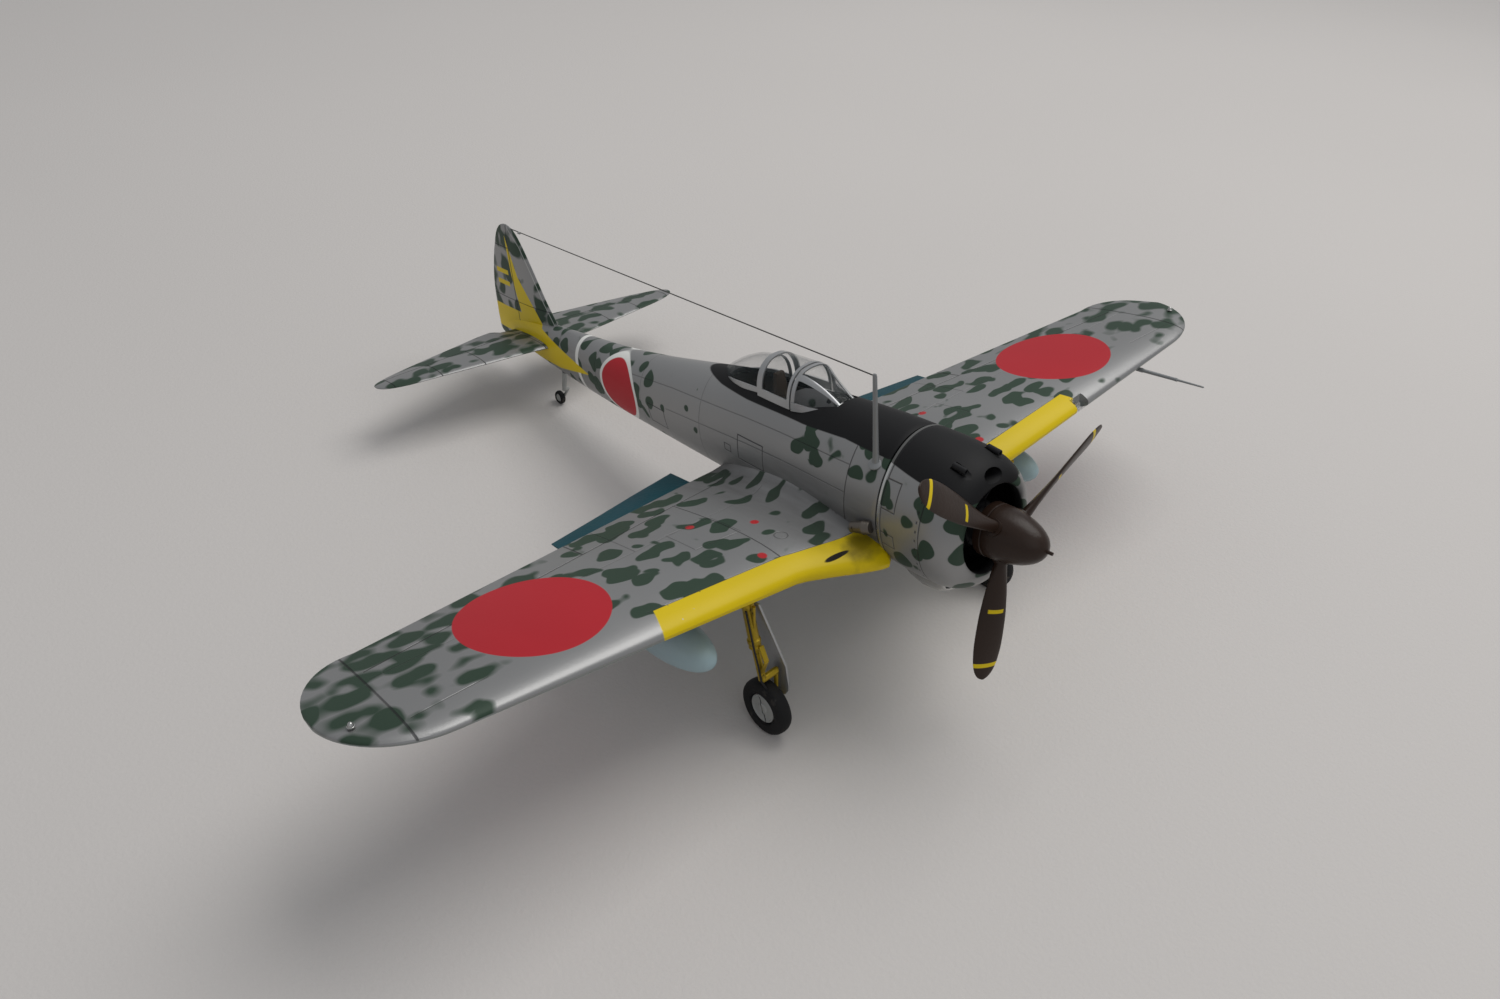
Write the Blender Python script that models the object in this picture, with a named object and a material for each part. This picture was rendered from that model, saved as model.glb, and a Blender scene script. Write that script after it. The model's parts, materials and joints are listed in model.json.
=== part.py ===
"""A static 1/48 scale model of a single-engine, low-wing propeller fighter, standing on its three wheels.

Every size is in millimetres in the level frame: origin at the propeller hub, nose towards -Y, left wing
towards +X, +Z up. The aircraft empty pitches the whole model nose-up until its three wheels touch the floor.
"""

from math import asin, atan2, copysign, cos, hypot, pi, radians, sin, sqrt

import bmesh
import bpy
import numpy as np
from mathutils import Matrix, Vector

MM = 0.001
GAP = 0.3            # clearance between pieces that touch
WALL = 1.0           # moulded plastic wall
CLEAR_WALL = 0.4     # clear canopy wall

# Wing
HALF_SPAN = 112.9
WING_PLANE = -8.6    # height of the joint between upper and lower wing at the centre
FLAT_HALF = 10.0     # half-width of the level centre section
DIHEDRAL = 0.1115
LEADING_EDGE = 23.5
TIP_CENTRE = 38.0

# Propeller and nose
PROP_RADIUS = 30.5
BLADE_ANGLES = (21, 141, 261)
SPINNER_RADIUS = 5.15
SPINNER_TIP = -8.9
COWL_REAR = 19.9
GUN_X = 4.8          # gun troughs in the cowling's upper lip
CYLINDERS = 7        # in each of the engine's two rows
SHAFT_RADIUS = 0.9

# Wheels
WHEEL = dict(x=34.6, y=28.5, z=-35.2, radius=6.0, width=3.3, hub=3.1)
TAIL_WHEEL = dict(x=0.0, y=150.3, z=-17.0, radius=1.9, width=1.5, hub=1.0)

# Canopy
WINDSCREEN_FRONT = 38.5
HOOD_FRONT = 49.0
HOOD_REAR = 59.2
CANOPY_REAR = 74.7

# y: half-width, top, bottom
FUSELAGE = {
    20.2: (12.5, 14.9, -13.2), 28: (12.2, 15.1, -13.2), 39: (11.2, 15.0, -13.1), 48: (10.4, 14.4, -12.9),
    59: (9.8, 13.9, -12.7), 68: (9.1, 13.3, -12.5), 76: (8.5, 12.1, -12.2), 88: (7.6, 10.1, -11.8),
    100: (6.6, 8.2, -11.3), 117: (5.4, 6.3, -10.5), 131: (4.2, 5.6, -9.5), 146: (3.0, 4.9, -7.8),
    158: (2.0, 4.0, -6.2), 168: (1.1, 3.0, -4.6), 173.5: (0.5, 2.0, -3.2),
}
COWL = {
    2.6: (9.0, 9.3, -9.2), 2.7: (9.7, 10.0, -9.9), 3.2: (10.8, 11.1, -11.0), 4.2: (11.8, 12.1, -12.1),
    5.6: (12.5, 12.9, -12.9), 7.5: (13.0, 13.6, -13.5), 10: (13.2, 14.1, -13.7), 15: (13.0, 14.7, -13.6),
    COWL_REAR: (12.5, 14.9, -13.2),
}
COWL_INSIDE = {
    2.7: (8.6, 8.9, -8.8), 3.4: (8.4, 8.7, -8.6), 4.6: (8.7, 9.0, -8.9), 6: (10.2, 10.7, -10.4),
    7.5: (11.4, 12.3, -11.9), 9: (11.6, 12.6, -12.3), COWL_REAR: (11.5, 13.9, -12.2),
}
# y: half-width, base, top. The hood's base clears the fuselage as it slides aft
CANOPY = {
    WINDSCREEN_FRONT: (3.2, 13.6, 15.3), 42: (4.4, 12.7, 17.2), 45.5: (5.4, 12.1, 18.9),
    HOOD_FRONT: (6.1, 11.9, 19.6), 54: (5.9, 11.9, 19.8), HOOD_REAR: (5.5, 11.9, 19.6),
}
CANOPY_BACK = {
    HOOD_REAR + GAP: (4.75, 11.4, 18.7), 64: (4.7, 11.4, 18.2), 68: (4.2, 11.3, 16.8),
    71.5: (3.1, 11.1, 14.9), CANOPY_REAR: (1.2, 10.9, 12.7),
}
# height above the hub line: front edge, rear edge, thickness
FIN = {
    -3.9: (168.0, 175.0, 0.9), -2.4: (167.0, 176.9, 1.3), 2.0: (162.0, 177.0, 1.7), 4.6: (145.0, 176.8, 2.0),
    10: (149.0, 176.4, 1.9), 18: (153.8, 174.2, 1.6), 24: (157.6, 171.5, 1.3), 27: (160.0, 169.6, 1.0),
    28.9: (162.9, 167.0, 0.6),
}
# distance from the centre line: front edge, rear edge, thickness
TAILPLANE = {
    0.8: (147.0, 167.4, 1.9), 5: (147.9, 167.8, 1.9), 7.5: (148.6, 170.4, 1.8), 20: (150.6, 168.2, 1.6),
    32: (152.6, 165.6, 1.3), 40: (154.0, 163.6, 1.1), 44.5: (155.7, 162.0, 0.8), 46.8: (158.0, 160.4, 0.5),
}
TAILPLANE_HEIGHT = -0.8
# radius: chord, thickness, pitch angle
BLADE = {
    2.4: (2.2, 2.2, 52), 6: (2.4, 1.9, 48), 9: (3.2, 1.4, 42), 13: (4.2, 1.1, 36), 18: (5.1, 0.9, 30),
    23: (5.5, 0.8, 26), 26.5: (5.0, 0.65, 23), 29: (3.6, 0.5, 22), PROP_RADIUS: (1.0, 0.35, 21),
}


# Materials

def paint(name, rgb, roughness=0.5, metallic=0.0, alpha=1.0):
    material = bpy.data.materials.new(name)
    material.use_nodes = True
    shader = material.node_tree.nodes["Principled BSDF"]
    shader.inputs["Base Color"].default_value = (*rgb, 1)
    shader.inputs["Roughness"].default_value = roughness
    shader.inputs["Metallic"].default_value = metallic
    shader.inputs["Alpha"].default_value = alpha
    return material


def make_paints():
    return {
        "silver": paint("silver_lacquer", (0.33, 0.34, 0.34), 0.42, 0.5),
        "brown": paint("propeller_brown", (0.036, 0.021, 0.016), 0.45),
        "black": paint("matt_black", (0.012, 0.012, 0.013), 0.6),
        "steel": paint("bare_metal", (0.45, 0.45, 0.44), 0.3, 0.9),
        "teal": paint("interior_teal", (0.02, 0.055, 0.065), 0.5, 0.2),
        "cockpit": paint("cockpit_brown", (0.06, 0.04, 0.025), 0.7),
        "tank": paint("tank_blue_grey", (0.29, 0.4, 0.44), 0.5),
        "leg": paint("leg_yellow_metal", (0.3, 0.24, 0.05), 0.35, 0.6),
        "rubber": paint("tyre_black", (0.015, 0.015, 0.016), 0.75),
        "clear": paint("clear_styrene", (0.75, 0.78, 0.78), 0.08, 0.0, 0.35),
        "wire": paint("aerial_wire", (0.12, 0.12, 0.12), 0.5),
    }


# Meshes

def at(table, key, grow=0.0):
    """The row of a table at this station, with its outline grown outwards by grow."""
    stations = sorted(table)
    row = [float(np.interp(key, stations, [table[s][i] for s in stations])) for i in range(3)]
    return row[0] + grow, row[1] + grow, row[2] - grow


def loft(rings, close_rows=False):
    """A closed skin over rings of equal length, with flat ends unless the rows close on themselves."""
    bm = bmesh.new()
    rows = [[bm.verts.new(p) for p in ring] for ring in rings]
    pairs = list(zip(rows, rows[1:]))
    if close_rows:
        pairs.append((rows[-1], rows[0]))
    for a, b in pairs:
        for i in range(len(a)):
            j = (i + 1) % len(a)
            bm.faces.new((a[i], a[j], b[j], b[i]))
    if not close_rows:
        bm.faces.new(rows[0])
        bm.faces.new(rows[-1])
    bmesh.ops.recalc_face_normals(bm, faces=bm.faces)
    return bm


def box(low, high):
    bm = bmesh.new()
    bmesh.ops.create_cube(bm, size=1)
    bmesh.ops.scale(bm, vec=Vector(high) - Vector(low), verts=bm.verts)
    bmesh.ops.translate(bm, vec=(Vector(high) + Vector(low)) / 2, verts=bm.verts)
    return bm


def rod(start, end, radius, end_radius=None, sides=12):
    """A round bar, or a cone when it has an end radius, between two points."""
    start, end = Vector(start), Vector(end)
    bm = bmesh.new()
    turn = (end - start).to_track_quat("Z", "Y").to_matrix().to_4x4()
    bmesh.ops.create_cone(
        bm, cap_ends=True, segments=sides, radius1=radius, radius2=end_radius or radius,
        depth=(end - start).length, matrix=Matrix.Translation((start + end) / 2) @ turn,
    )
    return bm


def turned(profile, centre, axis, steps=24):
    """A closed ring or disc: (distance along the axis, radius) points turned once about the axis."""
    frame = Vector(axis).to_track_quat("Z", "Y").to_matrix()
    bm = bmesh.new()
    rings = []
    for along, radius in profile:
        if radius == 0:
            rings.append([bm.verts.new(Vector(centre) + frame @ Vector((0, 0, along)))])
            continue
        angles = [2 * pi * i / steps for i in range(steps)]
        rings.append([bm.verts.new(Vector(centre) + frame @ Vector((radius * cos(a), radius * sin(a), along)))
                      for a in angles])
    pairs = list(zip(rings, rings[1:]))
    if len(rings[0]) > 1:
        pairs.append((rings[-1], rings[0]))
    for a, b in pairs:
        for i in range(steps):
            j = (i + 1) % steps
            corners = [a[i % len(a)], a[j % len(a)], b[j % len(b)], b[i % len(b)]]
            bm.faces.new(list(dict.fromkeys(corners)))
    bmesh.ops.recalc_face_normals(bm, faces=bm.faces)
    return bm


def widen(obj, factors):
    """Scales a cutter about its own centre, in its mesh."""
    centre = sum((v.co for v in obj.data.vertices), Vector()) / len(obj.data.vertices)
    for vertex in obj.data.vertices:
        vertex.co = centre + Vector(f * d for f, d in zip(factors, vertex.co - centre))


def flipped(bm, side):
    """Moves a shape drawn for the left side to the right side when side is -1."""
    if side < 0:
        bmesh.ops.scale(bm, vec=(-1, 1, 1), verts=bm.verts)
        bmesh.ops.reverse_faces(bm, faces=bm.faces)
    return bm


# Objects

class Model:
    """The aircraft empty, its paints, and the pieces that hang on it."""

    def __init__(self):
        for obj in list(bpy.data.objects):
            bpy.data.objects.remove(obj)
        self.paints = make_paints()
        self.aircraft = bpy.data.objects.new("aircraft", None)
        bpy.context.scene.collection.objects.link(self.aircraft)

    def add(self, name, bm, material=None, origin=(0, 0, 0), smooth=35):
        """A piece of the model. Its origin is where it turns, or the propeller hub."""
        bmesh.ops.translate(bm, vec=-Vector(origin), verts=bm.verts)
        bmesh.ops.scale(bm, vec=(MM, MM, MM), verts=bm.verts)
        mesh = bpy.data.meshes.new(name)
        bm.to_mesh(mesh)
        bm.free()
        mesh.shade_smooth()
        mesh.set_sharp_from_angle(angle=radians(smooth))
        obj = bpy.data.objects.new(name, mesh)
        bpy.context.scene.collection.objects.link(obj)
        obj.parent = self.aircraft
        obj.location = Vector(origin) * MM
        if material:
            mesh.materials.append(self.paints[material])
        return obj

    def cutter(self, name, bm):
        obj = self.add("cut_" + name, bm)
        obj.hide_render = True
        obj.display_type = "WIRE"
        return obj

    def combine(self, obj, others, operation="DIFFERENCE"):
        for other in others:
            boolean = obj.modifiers.new(other.name, "BOOLEAN")
            boolean.operation = operation
            boolean.object = other
        return obj


def oval(row, y, steps=32):
    """A closed oval section across the fuselage, with its own half-height above and below the hub line."""
    width, top, bottom = row
    return [(width * cos(a), y, (top if a <= pi else -bottom) * sin(a))
            for a in (2 * pi * i / steps for i in range(steps))]


# Fuselage and nose

def fuselage_half(side):
    """Half a hollow shell with an open seam. Behind the cavity's end, the half is solid."""
    cavity_end, steps = 138, 14
    stations = sorted({*FUSELAGE, 33, 43.5, 53, 63.5, cavity_end, cavity_end + 3})
    rings = []
    for y in stations:
        width, top, bottom = at(FUSELAGE, y)
        wall = min(WALL, 0.35 * width)
        hollow = 1.0 if y <= cavity_end else 0.0
        outer, inner = [], []
        for i in range(steps + 1):
            a = pi / 2 - pi * i / steps
            outer.append((max(width * cos(a), 0) + GAP / 2, y, (top if a > 0 else -bottom) * sin(a)))
            reach = (top if a > 0 else -bottom) - wall
            inner.append((max(hollow * (width - wall - GAP / 2) * cos(a), 0) + GAP / 2, y, reach * sin(a)))
        rings.append(outer + inner[::-1])
    return flipped(loft(rings), side)


def fin_half(side):
    """Half of the fin and rudder, drawn as one blade with its flat face on the seam."""
    rings = []
    for z in sorted(FIN):
        front, rear, thickness = FIN[z]
        chord = rear - front
        half = thickness / 2
        curve = [(0.0, 0.12), (0.04, 0.5), (0.15, 0.85), (0.35, 1.0), (0.7, 0.7), (1.0, 0.12)]
        skin = [(GAP / 2 + half * h, front + chord * u, z) for u, h in curve]
        rings.append([(GAP / 2, rear, z), (GAP / 2, front, z)] + skin)
    return flipped(loft(rings), side)


def canopy_footprint():
    """The opening that the windscreen, hood and rear canopy stand in."""
    outline = [(WINDSCREEN_FRONT - GAP, CANOPY[WINDSCREEN_FRONT][0])]
    sections = {**CANOPY, **CANOPY_BACK}
    outline += [(y, row[0]) for y, row in sections.items() if WINDSCREEN_FRONT < y < CANOPY_REAR]
    outline += [(CANOPY_REAR + GAP, CANOPY_BACK[CANOPY_REAR][0])]
    corners = ((-1, 9.6), (1, 9.6), (1, 22), (-1, 22))
    return loft([[(side * (width + GAP), y, z) for side, z in corners] for y, width in outline])


def cowl_skin(grow):
    return loft([oval(at(COWL, y, grow), y + (GAP if y == COWL_REAR else 0)) for y in sorted(COWL)])


def build_fuselage(model):
    cockpit = model.cutter("cockpit", canopy_footprint())
    belly = model.cutter("belly", box((-30, 15, -20), (30, rear_edge(0) + GAP, WING_PLANE + GAP / 2)))
    for side, label in ((1, "left"), (-1, "right")):
        half = model.add("fuselage_" + label, fuselage_half(side), "silver")
        fin = model.cutter("fin_" + label, fin_half(side))
        model.combine(half, [fin], "UNION")
        model.combine(half, [cockpit, belly])


def build_cowling(model):
    outside = [oval(COWL[y], y, 40) for y in sorted(COWL)]
    inside = [oval(COWL_INSIDE[y], y, 40) for y in sorted(COWL_INSIDE, reverse=True)]
    cowling = model.add("cowling", loft(outside + inside, close_rows=True), "silver")
    for side, label in ((1, "left"), (-1, "right")):
        trough = rod((side * GUN_X, 3, 13.2), (side * GUN_X, 13, 14.3), 0.9)
        model.combine(cowling, [model.cutter("trough_" + label, trough)])


def build_engine(model):
    """Two rows of seven cylinders on the crankcase, and the gear case that carries the shaft's bush."""
    rows = {"engine_front_row": (10.0, 90), "engine_rear_row": (15.6, 90 + 180 / CYLINDERS)}
    bore = model.cutter("engine_bore", rod((0, 0, 0), (0, 16.8, 0), 1.65 + GAP, sides=16))
    for name, (y, first) in rows.items():
        crankcase = model.add(name, rod((0, y - 2.4, 0), (0, y + 2.4, 0), 5.0, sides=28), "black")
        for i in range(CYLINDERS):
            a = radians(first + i * 360 / CYLINDERS)
            arm = rod((0, y, 0), (10.7 * cos(a), y, 10.7 * sin(a)), 2.0, sides=12)
            model.combine(crankcase, [model.cutter(name + "_" + str(i), arm)], "UNION")
        model.combine(crankcase, [bore])
    case = [(4.2, 1.95), (4.2, 3.0), (5.2, 3.6), (7.2, 4.4), (7.2, 1.95)]
    model.add("engine_gear_case", turned(case, (0, 0, 0), (0, 1, 0)), "black")
    bush = [(4.2, SHAFT_RADIUS + GAP), (4.2, 1.65), (12.0, 1.65), (12.0, SHAFT_RADIUS + GAP)]
    model.add("shaft_bush", turned(bush, (0, 0, 0), (0, 1, 0), 20), "rubber")
    ring = oval(at(FUSELAGE, 20.2, -WALL - GAP), 19.0)
    model.add("firewall", loft([ring, [(x, y + 1.2, z) for x, y, z in ring]]), "black")


def blade(angle):
    """One blade, round at its root and thin at its tip. It pulls forwards when it turns clockwise from behind."""
    a = radians(angle)
    out, ahead = Vector((cos(a), 0, sin(a))), Vector((0, -1, 0))
    motion = Vector((-sin(a), 0, cos(a)))
    rings = []
    for radius in sorted(BLADE):
        chord, thickness, pitch = BLADE[radius]
        along = motion * cos(radians(pitch)) + ahead * sin(radians(pitch))
        across = out.cross(along)
        turn = [2 * pi * i / 12 for i in range(12)]
        rings.append([out * radius + along * (chord / 2 * cos(t)) + across * (thickness / 2 * sin(t))
                      for t in turn])
    return loft(rings)


def build_propeller(model):
    hub = model.add("propeller", rod((0, -1.5, 0), (0, 1.5, 0), 3.6, sides=20), "brown")
    for i, angle in enumerate(BLADE_ANGLES):
        model.combine(hub, [model.cutter("blade_" + str(i), blade(angle))], "UNION")
    model.combine(hub, [model.cutter("hub_bore", rod((0, -0.9, 0), (0, 4, 0), SHAFT_RADIUS + GAP))])
    length = 1.6 - SPINNER_TIP
    outer = [(SPINNER_TIP + length * (1 - cos(t)), SPINNER_RADIUS * sin(t) ** 0.92)
             for t in (pi / 2 * i / 8 for i in range(1, 9))]
    nose = [(SPINNER_TIP - 1.2, 0), (SPINNER_TIP - 1.2, 0.35), (SPINNER_TIP - 0.1, 0.45)]
    inside = [(1.6, SPINNER_RADIUS - 0.9), (-3.4, SPINNER_RADIUS - 1.4), (-3.4, 0)]
    spinner = model.add("spinner", turned(nose + outer + inside, (0, 0, 0), (0, 1, 0)), "brown")
    for i, angle in enumerate(BLADE_ANGLES):
        slot = box((0, -1.7, -1.6), (8, 3, 1.6))
        bmesh.ops.rotate(slot, matrix=Matrix.Rotation(-radians(angle), 3, "Y"), verts=slot.verts)
        model.combine(spinner, [model.cutter("slot_" + str(i), slot)])
    plate = [(1.9, SHAFT_RADIUS + GAP), (1.9, SPINNER_RADIUS), (3.5, SPINNER_RADIUS), (3.5, SHAFT_RADIUS + GAP)]
    model.add("spinner_backplate", turned(plate, (0, 0, 0), (0, 1, 0)), "brown")
    model.add("propeller_shaft", rod((0, -0.6, 0), (0, 13.5, 0), SHAFT_RADIUS, sides=16), "steel")


def build_nose_fittings(model):
    """The oil cooler scoop below the cowling and an exhaust stub on each side of its rear edge."""
    rows = {11.2: (3.9, -17.0), 13: (4.2, -18.0), 17: (4.1, -18.4), 20.5: (3.4, -17.6), 24: (2.0, -15.4)}
    rings = []
    for y, (half, low) in rows.items():
        arc = [(half * cos(t), y, -12.6 + (low + 12.6) * sin(t)) for t in (pi * i / 10 for i in range(11))]
        rings.append(arc + [(-half, y, -11.5), (half, y, -11.5)])
    scoop = model.add("oil_cooler", loft(rings), "steel")
    cowl = model.cutter("cowl_clearance", cowl_skin(GAP))
    body = model.cutter("body_clearance", loft([oval(at(FUSELAGE, y, GAP), y) for y in sorted(FUSELAGE)]))
    mouth = model.cutter("cooler_mouth", rod((0, 10, -15.1), (0, 14, -15.3), 1.3))
    widen(mouth, (2.0, 1, 1))
    model.combine(scoop, [cowl, body, mouth])
    for side, label in ((1, "left"), (-1, "right")):
        stub = rod((13.1 * side, 20.6, -1.2), (13.9 * side, 24.6, -2.2), 1.25, 1.05)
        pipe = model.add("exhaust_" + label, stub, "steel")
        bore = rod((13.6 * side, 23.2, -1.8), (14.1 * side, 25.5, -2.4), 0.75)
        model.combine(pipe, [body, model.cutter("pipe_" + label, bore)])
    return cowl, body


# Wings

def front_edge(x):
    x = abs(x)
    if x > 97:
        return TIP_CENTRE - (TIP_CENTRE - LEADING_EDGE) * sqrt(max(0, 1 - ((x - 97) / (HALF_SPAN - 97)) ** 2))
    return float(np.interp(x, [8, 11.5, 14, 24, 29], [20.5, 17.2, 17.8, 22.0, LEADING_EDGE]))


def rear_edge(x):
    x = abs(x)
    straight = float(np.interp(x, [0, 14, 104], [73.2, 70.6, 51.0]))
    if x > 101:
        return TIP_CENTRE + 13.8 * sqrt(max(0, 1 - ((x - 101) / (HALF_SPAN - 101)) ** 2))
    return straight


def wing_plane(x):
    return WING_PLANE + DIHEDRAL * max(0, abs(x) - FLAT_HALF)


def half_depth(x, u, root, tip):
    """Height of a symmetrical aerofoil's surface above its chord line, at u along the chord."""
    shape = 2.969 * sqrt(u) - 1.26 * u - 3.516 * u ** 2 + 2.843 * u ** 3 - 1.036 * u ** 4
    return max(float(np.interp(abs(x), [10, 104, HALF_SPAN], [root, tip, 0.35])) * shape, 0.15)


def wing_surface(x, y_share, side):
    """A point of the wing's outer skin: side is 1 for the upper surface and -1 for the lower one."""
    front, rear = front_edge(x), rear_edge(x)
    y = front + (rear - front) * y_share
    if side > 0:
        fillet = 3.4 * max(0, (16 - abs(x)) / 6) ** 2
        z = wing_plane(x) + GAP / 2 + half_depth(x, y_share, 4.3, 1.25) + fillet * sin(pi * y_share)
        return x, y, z
    z = wing_plane(x) - GAP / 2 - half_depth(x, y_share, 3.6, 1.0)
    width, _, bottom = at(FUSELAGE, y)
    if abs(x) < width:
        z = min(z, bottom * sqrt(1 - (x / width) ** 2))
    return x, y, z


def wing_ring(x, side, steps=12):
    shares = [0.5 * (1 - cos(pi * i / steps)) for i in range(steps + 1)]
    flat = wing_plane(x) + side * GAP / 2
    skin = [wing_surface(x, u, side) for u in shares]
    return [(x, rear_edge(x), flat), (x, front_edge(x), flat)] + skin


def build_wings(model, cowl, body):
    ribs = [12, 14, 16, 20, 24, 29, 45, 62, 80, 97, 101, 104.5, 107.5, 110, 111.8, HALF_SPAN - 0.15]
    centre = [0, 3, 6, 8, 10]
    outward = centre[1:] + ribs
    across = [-x for x in reversed(outward)] + [0] + outward
    lower = model.add("wing_lower", loft([wing_ring(x, -1) for x in across]), "silver")
    model.combine(lower, [cowl])
    notch = model.cutter("light_notch", box((57.4, 20, -9), (61.6, 26.0, 4)))
    model.combine(lower, [notch])
    for side, label in ((1, "left"), (-1, "right")):
        rings = [wing_ring(x, 1) for x in [4, 7, 9, 10.5] + ribs]
        upper = model.add("wing_upper_" + label, flipped(loft(rings), side), "silver")
        model.combine(upper, [cowl, body] + ([notch] if side > 0 else []))
    rings = []
    for x in (57.4 + GAP, 59.5, 61.6 - GAP):
        shares = [0.0, 0.012, 0.03, (25.7 - LEADING_EDGE) / (rear_edge(x) - LEADING_EDGE)]
        top = [wing_surface(x, u, 1) for u in shares]
        under = [wing_surface(x, u, -1) for u in shares]
        rings.append(top + under[::-1])
    model.add("landing_light_cover", loft(rings), "clear")


def build_wing_fittings(model):
    for side, label in ((1, "left"), (-1, "right")):
        build_flap(model, side, label)
        tip = Vector((side * 108.8, 32.0, wing_plane(108.8) + 1.75))
        bead = bmesh.new()
        bmesh.ops.create_uvsphere(bead, u_segments=12, v_segments=8, radius=0.5, matrix=Matrix.Translation(tip))
        model.add("wingtip_light_" + label, bead, "clear")
        build_tank(model, side, label)
    root = Vector((84.5, 24.0, wing_plane(84.5) - 2.2))
    tube = turned([(0, 0), (0, 0.42), (8.5, 0.36), (8.7, 0.24), (15.5, 0.2), (15.5, 0)], root, (0, -1, 0), 10)
    model.add("pitot_tube", tube, "steel")


def build_flap(model, side, label):
    """The flap, run out behind the inner trailing edge and drooped a little."""
    rings = []
    for x, rear in ((15, 80.0), (28, 76.0), (41, 71.6), (54, 67.4)):
        front = rear_edge(x) - 6.5
        top = wing_surface(x, (front - front_edge(x)) / (rear_edge(x) - front_edge(x)), -1)[2] - GAP
        low = top - 0.9
        rings.append([(x, front, top), (x, rear, top - 0.5), (x, rear, top - 0.75),
                      (x, front + 3, low - 0.2), (x, front, low)])
    model.add("flap_" + label, flipped(loft(rings), side), "teal")


def build_tank(model, side, label):
    x, z, front, length, radius = 48.0, -16.5, 26.6, 36.0, 4.7
    shares = [0.0, 0.02, 0.08, 0.18, 0.32, 0.5, 0.68, 0.84, 0.95, 1.0]
    profile = [(length * u, radius * (sin(pi * u ** 0.72)) ** 0.62 if 0 < u < 1 else 0) for u in shares]
    model.add("drop_tank_" + label, turned(profile, (side * x, front, z), (0, 1, 0), 20), "tank")
    rings = []
    for high in (z + radius - 0.15, wing_plane(x) - GAP):
        outline = [(0, 34.0), (0.7, 36.0), (0.7, 44.0), (0, 47.0), (-0.7, 44.0), (-0.7, 36.0)]
        rings.append([(side * x + dx, y, high) for dx, y in outline])
    pylon = model.add("tank_pylon_" + label, loft(rings), "tank")
    grown = [(along, r + GAP if r else 0) for along, r in profile]
    tank = model.cutter("tank_" + label, turned(grown, (side * x, front, z), (0, 1, 0), 20))
    slices = []
    for px in (x - 6, x + 6):
        skin = [wing_surface(px, i / 12, -1) for i in range(13)]
        above = [(px, rear_edge(px), 5), (px, front_edge(px), 5)]
        lowered = [(sx, sy, sz - GAP) for sx, sy, sz in skin]
        slices.append([(px, front_edge(px), wing_plane(px))] + lowered + above)
    wing = model.cutter("wing_over_tank_" + label, flipped(loft(slices), side))
    model.combine(pylon, [tank, wing])


def build_tailplanes(model, body):
    for side, label in ((1, "left"), (-1, "right")):
        rings = []
        for x in sorted(TAILPLANE):
            front, rear, thickness = TAILPLANE[x]
            chord = rear - front
            curve = [(0.0, 0.12), (0.05, 0.55), (0.2, 0.9), (0.4, 1.0), (0.7, 0.7), (1.0, 0.12)]
            top = [(x, front + chord * u, TAILPLANE_HEIGHT + h * thickness / 2) for u, h in curve]
            under = [(px, y, 2 * TAILPLANE_HEIGHT - z) for px, y, z in reversed(top)]
            rings.append(top + under)
        plane = model.add("tailplane_" + label, flipped(loft(rings), side), "silver")
        model.combine(plane, [body])


# Canopy and cockpit

def arch(row, y, steps=12):
    """A canopy section: an arch a little squarer than a half-ellipse."""
    width, base, top = row
    power = 2 / 2.5
    points = []
    for a in (pi * i / steps for i in range(steps + 1)):
        across = copysign(abs(cos(a)) ** power, cos(a))
        points.append((width * across, y, base + (top - base) * max(sin(a), 0) ** power))
    return points


def clear_shell(table, first, last):
    """An open canopy section: an arch of constant wall between two stations."""
    stations = sorted({first, last, *(y for y in table if first < y < last)})
    rings = []
    for y in stations:
        ys = sorted(table)
        width, base, top = (float(np.interp(y, ys, [table[s][i] for s in ys])) for i in range(3))
        outer = arch((width, base, top), y)
        inner = arch((width - CLEAR_WALL, base, top - CLEAR_WALL), y)
        rings.append(outer + inner[::-1])
    return loft(rings)


def build_canopy(model):
    model.add("windscreen", clear_shell(CANOPY, WINDSCREEN_FRONT, HOOD_FRONT - GAP), "clear")
    origin = (0, (HOOD_FRONT + HOOD_REAR) / 2, 15)
    model.add("canopy_hood", clear_shell(CANOPY, HOOD_FRONT, HOOD_REAR), "clear", origin)
    model.add("canopy_rear", clear_shell(CANOPY_BACK, HOOD_REAR + GAP, CANOPY_REAR), "clear")


def build_cockpit(model):
    model.add("cockpit_floor", box((-7.0, 38, -4.4), (7.0, 68, -3.4)), "cockpit")
    seat = model.add("seat", box((-3.2, 50.5, -3.1), (3.2, 57.5, 8.2)), "cockpit")
    bowl = model.cutter("seat_bowl", box((-2.5, 49, 0.4), (2.5, 56.7, 12)))
    model.combine(seat, [bowl])
    rest = [(-2.0, 57.9), (2.0, 57.9), (2.0, 59.0), (-2.0, 59.0)]
    model.add("headrest", loft([[(x, y, -3.1) for x, y in rest], [(x, y, 11.0) for x, y in rest],
                                [(0.6 * x, y, 15.6) for x, y in rest]]), "cockpit")
    model.add("control_stick", rod((0, 47.5, -3.1), (0, 48.2, 6.0), 0.45, 0.35, 10), "black")
    panel = oval((6.2, 9.0, -2.8), 42.6, 24)
    model.add("instrument_panel", loft([panel, [(x, y + 0.9, z) for x, y, z in panel]]), "black")
    model.add("gunsight", rod((0, 43.0, 9.3), (0, 43.0, 14.0), 0.7, 0.5, 10), "black")


# Aerial

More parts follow.
